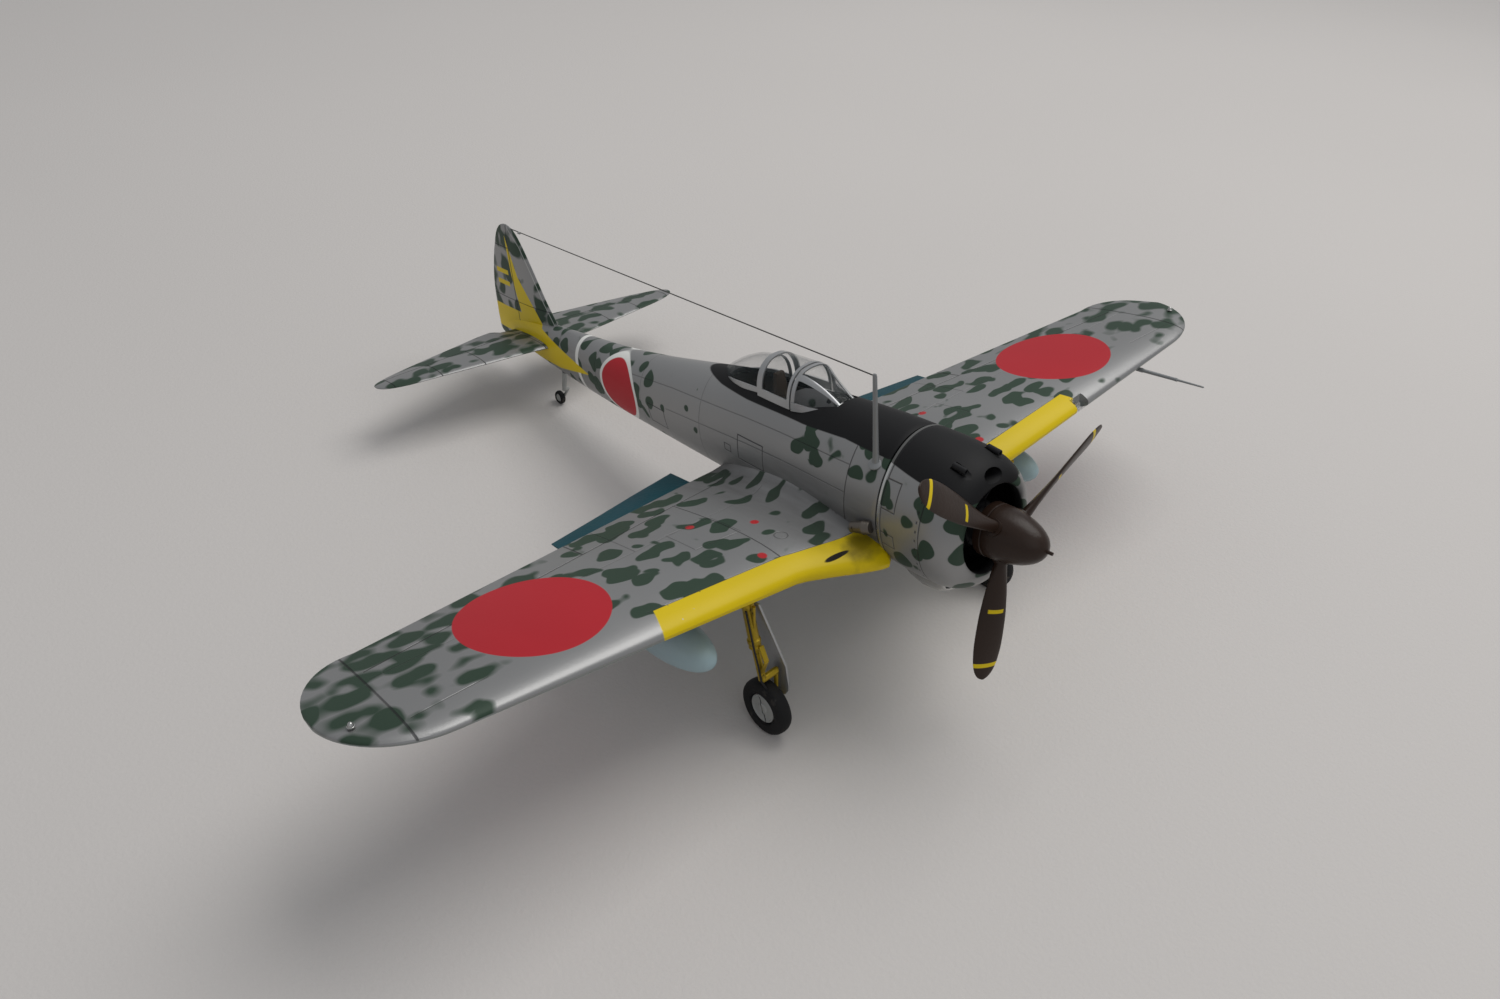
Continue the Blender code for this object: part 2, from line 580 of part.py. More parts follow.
def build_aerial(model):
    x, y = -9.0, 22.9
    top = Vector((x, y, 27.7))
    width, height, _ = at(FUSELAGE, y)
    foot = height * sqrt(1 - ((abs(x) - 0.7) / width) ** 2) + GAP
    sections = []
    for z, chord, thick in ((foot, 1.7, 1.1), (foot + 1.2, 1.4, 0.9), (top.z, 1.0, 0.6)):
        turns = [pi * i / 5 for i in range(10)]
        sections.append([(x + thick / 2 * sin(a), y + chord / 2 * cos(a), z) for a in turns])
    model.add("antenna_mast", loft(sections), "silver")
    start, end = top + Vector((0, 0.8, -0.4)), Vector((-0.2, 159.9, 28.1))
    side = Vector((0, 0, 0.13))
    across = Vector((0.13, 0, 0))
    ends = [[p + side * cos(a) + across * sin(a) for a in (pi * i / 3 for i in range(6))] for p in (start, end)]
    model.add("antenna_wire", loft(ends), "wire")


# Undercarriage

def wheel_pieces(model, prefix, spec, centre):
    """A tyre on a hub that turns on the axle pin with clearance."""
    radius, width, hub = spec["radius"], spec["width"], spec["hub"]
    half, edge = width / 2, 0.28 * width
    bulge = [(edge - half, radius - 0.35 * edge), (-half, radius - edge), (-half * 0.86, hub + GAP)]
    rim = [(-a, r) for a, r in bulge]
    profile = rim[::-1] + [(half - edge * 1.6, radius), (edge * 1.6 - half, radius)] + bulge
    model.add(prefix + "_tyre", turned(profile, centre, (1, 0, 0), 28), "rubber", centre)
    bore = spec["bore"]
    disc = [(-half * 0.8, bore), (-half * 0.8, hub), (half * 0.8, hub), (half * 0.8, bore)]
    model.add(prefix + "_hub", turned(disc, centre, (1, 0, 0), 28), "steel", centre)


def build_main_gear(model):
    x, y, z = WHEEL["x"], WHEEL["y"], WHEEL["z"]
    top, middle, bottom = (37.8, 28.4, -9.2), (36.8, 28.0, -19.5), (35.9, 27.7, -27.5)
    fork = x - WHEEL["width"] / 2 - 0.8
    for side, label in ((1, "left"), (-1, "right")):
        def bar(start, end, radius, sides=12):
            return rod((side * start[0], *start[1:]), (side * end[0], *end[1:]), radius, None, sides)
        leg = model.add("gear_leg_" + label, bar(top, middle, 1.1), "leg")
        limbs = [bar((36.9, 28.05, -18.9), bottom, 0.8), bar(bottom, (fork, 27.9, -27.5), 0.75),
                 bar((fork, 27.9, -27.2), (fork, y, z - 0.2), 0.4),
                 bar((fork - 0.35, y, z), (x + 1.2, y, z), 0.6),
                 bar((37.9, 26.2, -9.6), (36.9, 28.0, -17.5), 0.35, 8)]
        joined = [model.cutter(f"limb_{label}_{i}", limb) for i, limb in enumerate(limbs)]
        model.combine(leg, joined, "UNION")
        rings = []
        for thick in (-0.25, 0.25):
            edge = [(35.9, 2.2, -9.9), (30.9, 2.9, -26.5), (30.9, 3.4, -31.0)]
            front = [(px + thick, 29.2 - half, pz) for px, half, pz in edge]
            back = [(px + thick, 29.2 + half, pz) for px, half, pz in reversed(edge)]
            turn = [pi * i / 8 for i in range(1, 8)]
            foot = [(30.9 + thick, 29.2 - 3.4 * cos(a), -31.0 - 3.4 * sin(a)) for a in turn]
            rings.append(front + foot + back)
        model.add("gear_cover_" + label, flipped(loft(rings), side), "silver")
        spec = dict(WHEEL, bore=0.6 + GAP)
        wheel_pieces(model, "wheel_" + label, spec, (side * x, y, z))


def build_tail_gear(model):
    y, z = TAIL_WHEEL["y"], TAIL_WHEEL["z"]
    bottom = at(FUSELAGE, 145.0)[2]
    leg = model.add("tail_leg", rod((0, 145.6, bottom - GAP), (0, 147.4, -14.0), 0.75, 0.6), "silver")
    arm = TAIL_WHEEL["width"] / 2 + 0.65
    limbs = [rod((0, 147.3, -13.8), (arm, 147.7, -14.2), 0.45, sides=10),
             rod((arm, 147.6, -14.0), (arm, y, z), 0.38, sides=10),
             rod((arm + 0.3, y, z), (-0.5, y, z), 0.35, sides=12)]
    model.combine(leg, [model.cutter(f"tail_limb_{i}", limb) for i, limb in enumerate(limbs)], "UNION")
    wheel_pieces(model, "tail_wheel", dict(TAIL_WHEEL, bore=0.35 + GAP / 2), (0, y, z))


# Standing

def ground_angle():
    """The nose-up pitch at which the main wheels and the tail wheel touch one flat floor."""
    run = TAIL_WHEEL["y"] - WHEEL["y"]
    rise = TAIL_WHEEL["z"] - WHEEL["z"]
    drop = WHEEL["radius"] - TAIL_WHEEL["radius"]
    return atan2(rise, run) + asin(drop / hypot(run, rise))


def stand(model):
    """Pitches the aircraft and moves it so that the floor is at z = 0 and its box is centred on the origin."""
    model.aircraft.rotation_euler = (-ground_angle(), 0, 0)
    bpy.context.view_layer.update()
    graph = bpy.context.evaluated_depsgraph_get()
    points = []
    for obj in bpy.data.objects:
        if obj.type == "MESH" and not obj.hide_render:
            final = obj.evaluated_get(graph)
            points += [final.matrix_world @ vertex.co for vertex in final.data.vertices]
    low = Vector(min(p[i] for p in points) for i in range(3))
    high = Vector(max(p[i] for p in points) for i in range(3))
    model.aircraft.location = (-(low.x + high.x) / 2, -(low.y + high.y) / 2, -low.z)


def main():
    model = Model()
    build_fuselage(model)
    build_cowling(model)
    build_engine(model)
    build_propeller(model)
    cowl, body = build_nose_fittings(model)
    build_wings(model, cowl, body)
    build_wing_fittings(model)
    build_tailplanes(model, body)
    build_canopy(model)
    build_cockpit(model)
    build_aerial(model)
    build_main_gear(model)
    build_tail_gear(model)
    stand(model)


main()
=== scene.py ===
import json
from math import atan2, copysign, cos, degrees, pi, radians, sin, sqrt

import bpy
from mathutils import Matrix, Vector


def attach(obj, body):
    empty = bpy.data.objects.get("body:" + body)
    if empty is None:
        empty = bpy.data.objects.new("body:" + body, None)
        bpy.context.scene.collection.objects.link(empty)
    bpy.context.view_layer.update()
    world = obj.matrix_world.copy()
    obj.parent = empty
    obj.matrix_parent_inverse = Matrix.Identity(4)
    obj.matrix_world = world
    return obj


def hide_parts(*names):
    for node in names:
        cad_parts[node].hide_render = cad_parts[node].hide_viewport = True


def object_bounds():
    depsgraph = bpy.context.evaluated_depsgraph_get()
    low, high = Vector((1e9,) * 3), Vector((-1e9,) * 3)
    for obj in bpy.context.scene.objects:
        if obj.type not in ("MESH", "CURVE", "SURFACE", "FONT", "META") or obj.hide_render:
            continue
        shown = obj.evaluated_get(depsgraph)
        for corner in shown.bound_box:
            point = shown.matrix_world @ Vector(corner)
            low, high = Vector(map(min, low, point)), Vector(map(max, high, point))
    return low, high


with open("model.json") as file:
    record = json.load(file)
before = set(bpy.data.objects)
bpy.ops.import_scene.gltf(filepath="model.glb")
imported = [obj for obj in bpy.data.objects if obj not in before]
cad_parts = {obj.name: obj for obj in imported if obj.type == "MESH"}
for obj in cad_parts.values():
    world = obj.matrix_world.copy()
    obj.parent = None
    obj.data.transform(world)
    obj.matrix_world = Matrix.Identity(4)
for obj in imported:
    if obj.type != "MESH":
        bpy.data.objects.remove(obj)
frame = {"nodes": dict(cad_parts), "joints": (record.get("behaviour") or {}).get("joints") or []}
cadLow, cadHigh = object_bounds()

# Pieces are drawn in millimetres in the aircraft's own level frame: propeller hub at 0, tail +Y, left wing +X
spinJoint = next(j for j in frame["joints"] if j["name"] == "propeller_spin")
aft = -Vector(spinJoint["axis"])
pitchAngle = atan2(-aft.z, aft.y)
hubPoint = Vector(spinJoint["pos_m"])
levelToWorld = Matrix.Translation(hubPoint) @ Matrix.Rotation(-pitchAngle, 4, "X") @ Matrix.Scale(0.001, 4)
bothSides = ((1, "Left"), (-1, "Right"))


# Shapes

def smoothAt(table, key):
    # monotone cubic through a table of stations, so sections flow without bulging
    stations = sorted(table)
    key = min(max(key, stations[0]), stations[-1])
    i = max(k for k in range(len(stations) - 1) if stations[k] <= key or k == 0)
    x0, x1 = stations[i], stations[i + 1]
    t = (key - x0) / (x1 - x0)
    values = []
    for column in range(len(table[x0])):
        def slope(k):
            near, far = stations[k], stations[k + 1]
            return (table[far][column] - table[near][column]) / (far - near)
        def tangent(k):
            if k == 0 or k == len(stations) - 1:
                return slope(min(k, len(stations) - 2))
            before, after = slope(k - 1), slope(k)
            return 0 if before * after <= 0 else 2 * before * after / (before + after)
        p0, p1 = table[x0][column], table[x1][column]
        m0, m1 = tangent(i) * (x1 - x0), tangent(i + 1) * (x1 - x0)
        values.append((2 * t**3 - 3 * t**2 + 1) * p0 + (t**3 - 2 * t**2 + t) * m0
                      + (3 * t**2 - 2 * t**3) * p1 + (t**3 - t**2) * m1)
    return values


def spaced(first, last, count):
    return [first + (last - first) * i / count for i in range(count + 1)]


def pick(*pieces):
    bpy.ops.object.select_all(action="DESELECT")
    for piece in pieces:
        piece.select_set(True)
    bpy.context.view_layer.objects.active = pieces[0]


def drawn(name, primitive, **settings):
    # a new object made by one of Blender's own primitives
    bpy.ops.object.select_all(action="DESELECT")
    primitive(**settings)
    bpy.context.object.name = name
    return bpy.context.object


def openMesh():
    bpy.ops.object.mode_set(mode="EDIT")
    bpy.ops.mesh.select_all(action="SELECT")


def seal(piece, fill=True):
    openMesh()
    bpy.ops.mesh.remove_doubles(threshold=0.002)
    if fill:
        bpy.ops.mesh.fill_holes(sides=0)
        bpy.ops.mesh.select_all(action="SELECT")
    bpy.ops.mesh.normals_make_consistent(inside=False)
    bpy.ops.object.mode_set(mode="OBJECT")
    return piece


def gridPiece(name, rows, fill=True):
    # a grid primitive laid over rows of section points, then welded along its seam
    piece = drawn(name, bpy.ops.mesh.primitive_grid_add, x_subdivisions=len(rows[0]) - 1,
                  y_subdivisions=len(rows) - 1, size=1)
    for vertex, point in zip(piece.data.vertices, [p for row in rows for p in row]):
        vertex.co = point
    return seal(piece, fill)


def turnedPiece(name, profile, steps=48, ring=False):
    # a circle drawn out along Z and resized at each (distance, radius), as on a lathe
    along, radius = profile[0]
    piece = drawn(name, bpy.ops.mesh.primitive_circle_add, vertices=steps, radius=radius,
                  location=(0, 0, along), fill_type="NOTHING" if ring else "NGON")
    openMesh()
    for (a0, r0), (a1, r1) in zip(profile, profile[1:]):
        bpy.ops.mesh.extrude_region_move(TRANSFORM_OT_translate={"value": (0, 0, a1 - a0)})
        bpy.ops.transform.resize(value=(r1 / r0, r1 / r0, 1), center_override=(0, 0, a1))
    bpy.ops.object.mode_set(mode="OBJECT")
    bpy.ops.object.transform_apply(location=True, rotation=True, scale=True)
    return seal(piece, not ring)


def boxPiece(name, low, high, bevel=0.0):
    low, high = Vector(low), Vector(high)
    piece = drawn(name, bpy.ops.mesh.primitive_cube_add, size=1, location=(low + high) / 2, scale=high - low)
    bpy.ops.object.transform_apply(location=True, rotation=True, scale=True)
    if bevel:
        openMesh()
        bpy.ops.mesh.bevel(offset=bevel, segments=2, affect="EDGES")
        bpy.ops.object.mode_set(mode="OBJECT")
    return piece


def modify(piece, kind, **settings):
    pick(piece)
    modifier = piece.modifiers.new(kind.title(), kind)
    for key, value in settings.items():
        setattr(modifier, key, value)
    bpy.ops.object.modifier_apply(modifier=modifier.name)
    return piece


def cut(piece, *cutters):
    for cutter in cutters:
        modify(piece, "BOOLEAN", operation="DIFFERENCE", object=cutter, solver="EXACT")
        bpy.data.objects.remove(cutter)
    return piece


def turnTo(piece, start, direction):
    # lays a piece drawn along Z onto a line of the level frame
    turn = Vector(direction).to_track_quat("Z", "Y").to_matrix().to_4x4()
    piece.data.transform(Matrix.Translation(Vector(start)) @ turn)
    return piece


def lathed(name, profile, steps, start, direction, ring=False):
    return turnTo(turnedPiece(name, profile, steps, ring), start, direction)


def mirrored(profile):
    # the other half of a profile that is the same on both sides of its middle
    return profile + [(-along, radius) for along, radius in reversed(profile)]


def rodPiece(name, start, end, radius, endRadius=None, steps=20):
    start, end = Vector(start), Vector(end)
    length = (end - start).length
    tip = endRadius or radius
    profile = [(0, radius * 0.9), (0.08 * radius, radius), (length - 0.08 * tip, tip), (length, tip * 0.9)]
    return lathed(name, profile, steps, start, end - start)


def joined(pieces):
    pick(*pieces)
    if len(pieces) > 1:
        bpy.ops.object.join()
    return pieces[0]


def copied(piece, name, matrix):
    twin = bpy.data.objects.new(name, piece.data.copy())
    bpy.context.scene.collection.objects.link(twin)
    twin.data.transform(matrix)
    if matrix.determinant() < 0:
        twin.data.flip_normals()
    return twin


def refinedCopy(name, node, bevel=0.0):
    # the CAD node's own shape, welded and softened along its edges
    piece = bpy.data.objects.new(name, frame["nodes"][node].data.copy())
    bpy.context.scene.collection.objects.link(piece)
    pick(piece)
    openMesh()
    bpy.ops.mesh.remove_doubles(threshold=0.000002)
    bpy.ops.mesh.tris_convert_to_quads(face_threshold=radians(8), shape_threshold=radians(60))
    bpy.ops.mesh.dissolve_limited(angle_limit=radians(0.5))
    bpy.ops.object.mode_set(mode="OBJECT")
    piece.data.transform(levelToWorld.inverted())
    if bevel:
        modify(piece, "BEVEL", width=bevel, segments=2, limit_method="ANGLE", angle_limit=radians(35))
    return piece


def place(piece, material, nodes=(), angle=35, body="airframe"):
    pick(piece)
    piece.data.transform(levelToWorld)
    bpy.ops.object.shade_smooth_by_angle(angle=radians(angle))
    materials = material if isinstance(material, list) else [material]
    while len(piece.data.materials) < len(materials):
        piece.data.materials.append(None)
    for i, each in enumerate(materials):
        piece.data.materials[i] = each
    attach(piece, body)
    if nodes:
        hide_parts(*nodes)
    return piece


# Materials

def addNode(tree, kind, settings, inputs):
    node = tree.nodes.new("ShaderNode" + kind)
    for key, value in settings.items():
        setattr(node, key, value)
    for key, value in inputs.items():
        value = value.socket if isinstance(value, Field) else value
        if isinstance(value, bpy.types.NodeSocket):
            tree.links.new(value, node.inputs[key])
        else:
            node.inputs[key].default_value = value
    return node.outputs


class Field:
    # a number that varies over the surface, so that a pattern can be written as sums
    def __init__(self, tree, socket):
        self.tree = tree
        self.socket = socket

    def use(self, operation, *others, clamp=False):
        settings = {"operation": operation, "use_clamp": clamp}
        return Field(self.tree, addNode(self.tree, "Math", settings, dict(enumerate([self, *others])))[0])

    def __add__(self, other):
        return self.use("ADD", other)

    def __sub__(self, other):
        return self.use("SUBTRACT", other)

    def __mul__(self, other):
        return self.use("MULTIPLY", other)

    def inverse(self):
        return self.use("MULTIPLY_ADD", -1.0, 1.0)

    def under(self, limit, soft=0.09):
        # 1 where the number is below the limit, with an edge 2 * soft wide
        gap = self - limit
        return (gap * (-0.5 / soft)).use("ADD", 0.5, clamp=True)

    def over(self, limit, soft=0.09):
        return self.under(limit, soft).inverse()

    def line(self, centre, width=0.24):
        return (self - centre).use("ABSOLUTE").under(width / 2, 0.07)


def hexColor(code):
    # sRGB hex to the linear values that a shader takes
    parts = [int(code[i:i + 2], 16) / 255 for i in (0, 2, 4)]
    return (*[c / 12.92 if c <= 0.04045 else ((c + 0.055) / 1.055) ** 2.4 for c in parts], 1)


def newMaterial(name):
    material = bpy.data.materials.new(name)
    material.use_nodes = True
    tree = material.node_tree
    return material, tree, tree.nodes["Principled BSDF"]


def levelFields(tree):
    # object coordinates turned back into the level frame's millimetres
    objectPoint = addNode(tree, "TexCoord", {}, {})["Object"]
    back = levelToWorld.inverted()
    mapping = addNode(tree, "Mapping", {}, {"Vector": objectPoint, "Location": back.to_translation(),
                      "Rotation": (pitchAngle, 0, 0), "Scale": (1000, 1000, 1000)})[0]
    parts = addNode(tree, "SeparateXYZ", {}, {0: mapping})
    return mapping, [Field(tree, parts[i]) for i in range(3)]


def scaledPoint(tree, point, size, stretch, seed):
    # the point in pattern units, moved by the seed so that no two patterns look alike
    return addNode(tree, "Mapping", {}, {"Vector": point, "Location": (seed, seed * 1.7, seed * 2.3),
                   "Scale": [1 / (size * s) for s in stretch]})[0]


def noiseField(tree, point, size, stretch=(1, 1, 1), detail=2.0, distortion=0.0, seed=0.0):
    # cloudy variation with blobs about size millimetres across
    scaled = scaledPoint(tree, point, size, stretch, seed)
    return Field(tree, addNode(tree, "TexNoise", {}, {"Vector": scaled, "Scale": 1.0, "Detail": detail,
                               "Distortion": distortion})[0])


def squares(first, second):
    return first.use("POWER", 2) + second.use("POWER", 2)


def distance(first, second):
    # how far a point lies from the place where both numbers are 0
    return squares(first, second).use("SQRT")


def hatchEdge(first, second, halfFirst, halfSecond):
    # 0 along the edge of a rectangle about the place where both numbers are 0
    return (first.use("ABSOLUTE") - halfFirst).use("MAXIMUM", second.use("ABSOLUTE") - halfSecond)


def profileField(field, points):
    # a broken line through points, as a chain of clamped ramps
    stations = sorted(points)
    total = None
    for a, b in zip(stations, stations[1:]):
        rise = points[b] - points[a]
        ramp = ((field - a) * (1 / (b - a))).use("MULTIPLY", 1.0, clamp=True) * rise
        total = ramp if total is None else total + ramp
    return total + points[stations[0]]


class Coat:
    # layers of paint on one shader: each layer covers the last one where its mask says
    def __init__(self, tree, color, metallic, roughness):
        self.tree = tree
        self.values = {"Base Color": hexColor(color), "Metallic": metallic, "Roughness": roughness}

    def cover(self, mask, color, metallic, roughness):
        new = {"Base Color": hexColor(color), "Metallic": metallic, "Roughness": roughness}
        for key, value in new.items():
            rgba = key == "Base Color"
            slots = (6, 7, 2) if rgba else (2, 3, 0)
            settings = {"data_type": "RGBA" if rgba else "FLOAT"}
            self.values[key] = addNode(self.tree, "Mix", settings, {0: mask, slots[0]: self.values[key],
                                       slots[1]: value})[slots[2]]

    def shade(self, factor):
        # darkens the colour where factor is below 1
        grey = addNode(self.tree, "CombineColor", {}, {0: factor, 1: factor, 2: factor})[0]
        self.values["Base Color"] = addNode(self.tree, "Mix", {"data_type": "RGBA", "blend_type": "MULTIPLY"},
                                            {0: 1.0, 6: self.values["Base Color"], 7: grey})[2]

    def finish(self, shader, height, distance):
        for key, value in self.values.items():
            if isinstance(value, bpy.types.NodeSocket):
                self.tree.links.new(value, shader.inputs[key])
            else:
                shader.inputs[key].default_value = value
        shader.inputs["Specular IOR Level"].default_value = 0.25
        bump = addNode(self.tree, "Bump", {}, {"Height": height, "Distance": distance, "Strength": 1.0})[0]
        self.tree.links.new(bump, shader.inputs["Normal"])


def plainFinish(name, color, metallic, roughness, grain, grainDepth, mottle=0.12, wear=None):
    # one paint or bare surface: slow tone changes, fine grain, and wear where the grain peaks
    material, tree, shader = newMaterial(name)
    point, _ = levelFields(tree)
    coat = Coat(tree, color, metallic, roughness)
    fine = noiseField(tree, point, grain, detail=3)
    slow = noiseField(tree, point, grain * 14, detail=2, seed=4)
    if wear:
        coat.cover(noiseField(tree, point, grain * 5, detail=4, seed=9).over(0.66, 0.03), wear, 0.8, 0.35)
    coat.shade(slow * (mottle * 2) + (1 - mottle))
    coat.finish(shader, fine, grainDepth)
    return material


blotchStyle = {"green": "213a29", "halo": "66726a", "size": 5.2, "stretch": (1.45, 0.85, 0.9),
               "wobble": 3.6, "bend": 0.8}
markStyle = {"red": "b21f2a", "yellow": "d9bd00", "white": "dededa", "black": "0f0f11"}
silverStyle = {"color": "949494", "metallic": 0.62, "roughness": 0.4}
# soot, wash and scorch are dirt; the slit colour is painted shade inside a dent
dirtAndShadeStyle = {"soot": "2a2624", "wash": "1e1e20", "scorch": "2a2418", "slitShade": "17120c"}


def newLacquer(name):
    # silver lacquer sprayed over styrene: fine metal flake in a clear binder, so it glows but never mirrors
    material, tree, shader = newMaterial(name)
    point, axes = levelFields(tree)
    coat = Coat(tree, silverStyle["color"], silverStyle["metallic"], silverStyle["roughness"])
    return material, tree, shader, coat, point, axes


def sprayedBlotches(tree, point, coat, threshold, seed=0.0, softness=0.02):
    # airbrushed green spots: rounded cells bent by a slow wobble, each with a thin halo of overspray
    style = blotchStyle
    scaled = scaledPoint(tree, point, style["size"], style["stretch"], seed)
    cells = Field(tree, addNode(tree, "TexVoronoi", {}, {"Vector": scaled, "Scale": 1.0, "Randomness": 0.9})[0])
    wobble = noiseField(tree, point, style["wobble"], detail=0, seed=seed + 3) - 0.5
    above = (cells + wobble * style["bend"]).use("MULTIPLY_ADD", -1.0, 0.98) - threshold
    coat.cover(above.over(0.0, 0.09) * 0.25, style["halo"], 0.3, 0.5)
    mask = above.use("DIVIDE", softness * 2.0)
    coat.cover(mask.use("ADD", 0.5, clamp=True) * 0.94, style["green"], 0.08, 0.5)


def lacquerFinish(tree, shader, point, coat, lines, soot):
    # panel lines are cut and washed with thinned black, and soot is rubbed in along the airflow
    grime = noiseField(tree, point, 26, (1, 2.2, 1), 3, 0.3, 7)
    coat.shade(grime * 0.3 + 0.84)
    if soot:
        streaks = noiseField(tree, point, 3.2, (1, 7, 1), 3, 0.2, 3)
        coat.cover((streaks * 1.5 - 0.25).use("MULTIPLY", soot, clamp=True), dirtAndShadeStyle["soot"], 0.1, 0.6)
    coat.cover(lines * 0.72, dirtAndShadeStyle["wash"], 0.1, 0.6)
    fine = noiseField(tree, point, 0.5, detail=2) * 0.06
    coat.finish(shader, fine - lines * 0.55, 0.0002)


def strongest(fields):
    total = fields[0]
    for field in fields[1:]:
        total = total.use("MAXIMUM", field)
    return total


wingMarks = {"disc": (73.2, 41.5), "discRadius": 13.3, "bandEnd": 59.6,
             "bandRear": {11: 24.6, 29: 28.3, 60: 28.6}, "dotRed": "b4262c",
             "dots": ((34.0, 48.6), (24.0, 41.0), (31.5, 30.4)), "underside": "8f9492"}


def wingLacquer():
    material, tree, shader, coat, point, (x, y, z) = newLacquer("silverLacquerWing")
    style = wingMarks
    side = x.use("ABSOLUTE")
    upper = (z - profileField(side, {10: -8.6, 113: 2.88})).over(0.0, 0.15)
    # the outer leading edge is left plain, and the spray gets softer outboard of the disc
    front = (y - profileField(side, {58: 27.0, 62: 31.0, 96: 30.0, 103: 24.0})).under(0.0, 2.5)
    threshold = profileField(side, {14: 0.62, 22: 0.54, 60: 0.53, 80: 0.5, 104: 0.46})
    threshold = threshold + front * side.over(59.0, 1.5) * 0.3
    sprayedBlotches(tree, point, coat, threshold, 2.0, profileField(side, {55: 0.025, 72: 0.08, 113: 0.12}))
    disc = distance(side - style["disc"][0], y - style["disc"][1])
    coat.cover(disc.under(style["discRadius"], 0.08), markStyle["red"], 0.0, 0.5)
    behindBand = y - profileField(side, style["bandRear"])
    bandEnd = side + (y - 23.5) * 0.36
    band = behindBand.under(0, 0.08) * bandEnd.under(style["bandEnd"], 0.1)
    # the yellow has rubbed off in small worn patches
    worn = noiseField(tree, point, 1.1, detail=3, seed=5)
    coat.cover(band * worn.under(0.74, 0.01), markStyle["yellow"], 0.0, 0.42)
    plain = band.inverse() * disc.over(style["discRadius"])
    # painted shade: a dark slit stands in for the shade inside a dent near the right root, beside a patch of
    # burnt paint
    slitShadeMask = squares((x + 20.0) * 0.36, (y + x * 0.12 - 20.3) * 1.9)
    coat.cover(slitShadeMask.under(1.0, 0.2), dirtAndShadeStyle["slitShade"], 0.0, 0.7)
    scorch = squares((x + 14.5) * 0.22, (y - 22.0) * 0.3) + noiseField(tree, point, 2.4, detail=3, seed=8) * 1.4
    coat.cover(scorch.under(1.35, 0.5) * 0.6, dirtAndShadeStyle["scorch"], 0.0, 0.6)
    for dotX, dotY in style["dots"]:
        coat.cover(squares(side - dotX, y - dotY).under(0.8, 0.25), style["dotRed"], 0.0, 0.4)
    # the chord line runs along a constant share of the chord, and the rear one along the ailerons and flaps
    chord = y + side * 0.1089
    rear = y + side * 0.2178
    inner = side.under(101.5, 0.1) * side.over(12.5, 0.1)
    lines = [side.line(29.0) * y.over(24.5, 0.1) * rear.under(67.2, 0.1), side.line(102.6, 0.34),
             side.line(54.6, 0.34) * rear.over(66.6, 0.1), side.line(47.5) * chord.over(53.0, 0.1) * 0.6,
             rear.line(66.8, 0.32) * inner, chord.line(53.0, 0.2) * inner * 0.5,
             chord.line(39.6, 0.2) * inner * side.over(88.0, 0.1) * 0.6,
             behindBand.line(0.1, 0.16) * side.under(59.0, 0.1) * 0.7,
             hatchEdge(side - 34.0, y - 44.5, 5.5, 4.6).line(0.0, 0.2) * 0.6,
             distance(side - 24.0, y - 33.5).line(1.3, 0.2) * 0.8]
    soot = side.under(21.0, 5.0) * y.over(25.0, 4.0) * 0.62
    lacquerFinish(tree, shader, point, coat, strongest(lines) * plain * upper.use("MAXIMUM", 0.5), soot)
    # the underside has no blotches: the plain lacquer covers them again
    base = addNode(tree, "Mix", {"data_type": "RGBA"}, {0: upper.inverse() * plain,
                   6: coat.values["Base Color"], 7: hexColor(style["underside"])})[2]
    tree.links.new(base, shader.inputs["Base Color"])
    return material


hullMarks = {"disc": (111.5, -1.7), "rimRadius": 8.4, "discRadius": 7.4, "band": (131.5, 1.5),
             "glareEdge": {20: 11.2, 32: 11.5, 44: 10.7, 62: 10.4, 72: 10.7, 83: 11.6}}


def hullLacquer():
    material, tree, shader, coat, point, (_, y, z) = newLacquer("silverLacquerHull")
    style = hullMarks
    forward = z.over(4.6, 0.9) * y.under(49.0, 3.0)
    amount = forward.use("MAXIMUM", y.over(92.0, 4.0) * 0.85)
    sprayedBlotches(tree, point, coat, amount * -0.45 + 0.965, 6.0)
    disc = distance(y - style["disc"][0], z - style["disc"][1])
    coat.cover(disc.under(style["rimRadius"]), markStyle["white"], 0.0, 0.5)
    coat.cover(disc.under(style["discRadius"]), markStyle["red"], 0.0, 0.5)
    coat.cover(y.line(*style["band"]), markStyle["white"], 0.0, 0.5)
    coat.cover(yellowFlash(y, z), markStyle["yellow"], 0.0, 0.4)
    # the black glare panel runs back from the cowling under the canopy
    aboveEdge = z - profileField(y, style["glareEdge"])
    coat.cover(aboveEdge.over(0, 0.08), markStyle["black"], 0.0, 0.6)
    plain = disc.over(style["rimRadius"]) * aboveEdge.under(-0.05)
    aboveBelt = z - profileField(y, {20: 8.4, 60: 7.4, 88: 5.6, 130: 1.6})
    behindCowl = y.over(28.4, 0.1)
    lines = [y.line(28.4), strongest([y.line(seam, 0.2) for seam in (76.5, 101.0, 122.0)]) * 0.45,
             aboveBelt.line(0.0, 0.2) * behindCowl * y.under(112.0, 0.1) * 0.6,
             aboveBelt.line(-5.2, 0.2) * behindCowl * y.under(90.0, 0.1) * 0.5,
             hatchEdge(y - 58.0, z - 0.5, 4.2, 2.8).line(0.0), hatchEdge(y - 94.5, z + 3.2, 3.4, 2.4).line(0.0),
             hatchEdge(y - 66.0, z + 1.0, 1.1, 0.8).line(0.0, 0.2)]
    trail = profileField(y, {22: 1.0, 44: 0.75, 84: 0.0})
    soot = z.under(2.5, 3.5) * z.over(-9.0, 4.0) * trail * 0.85
    lacquerFinish(tree, shader, point, coat, strongest(lines) * plain, soot)
    return material


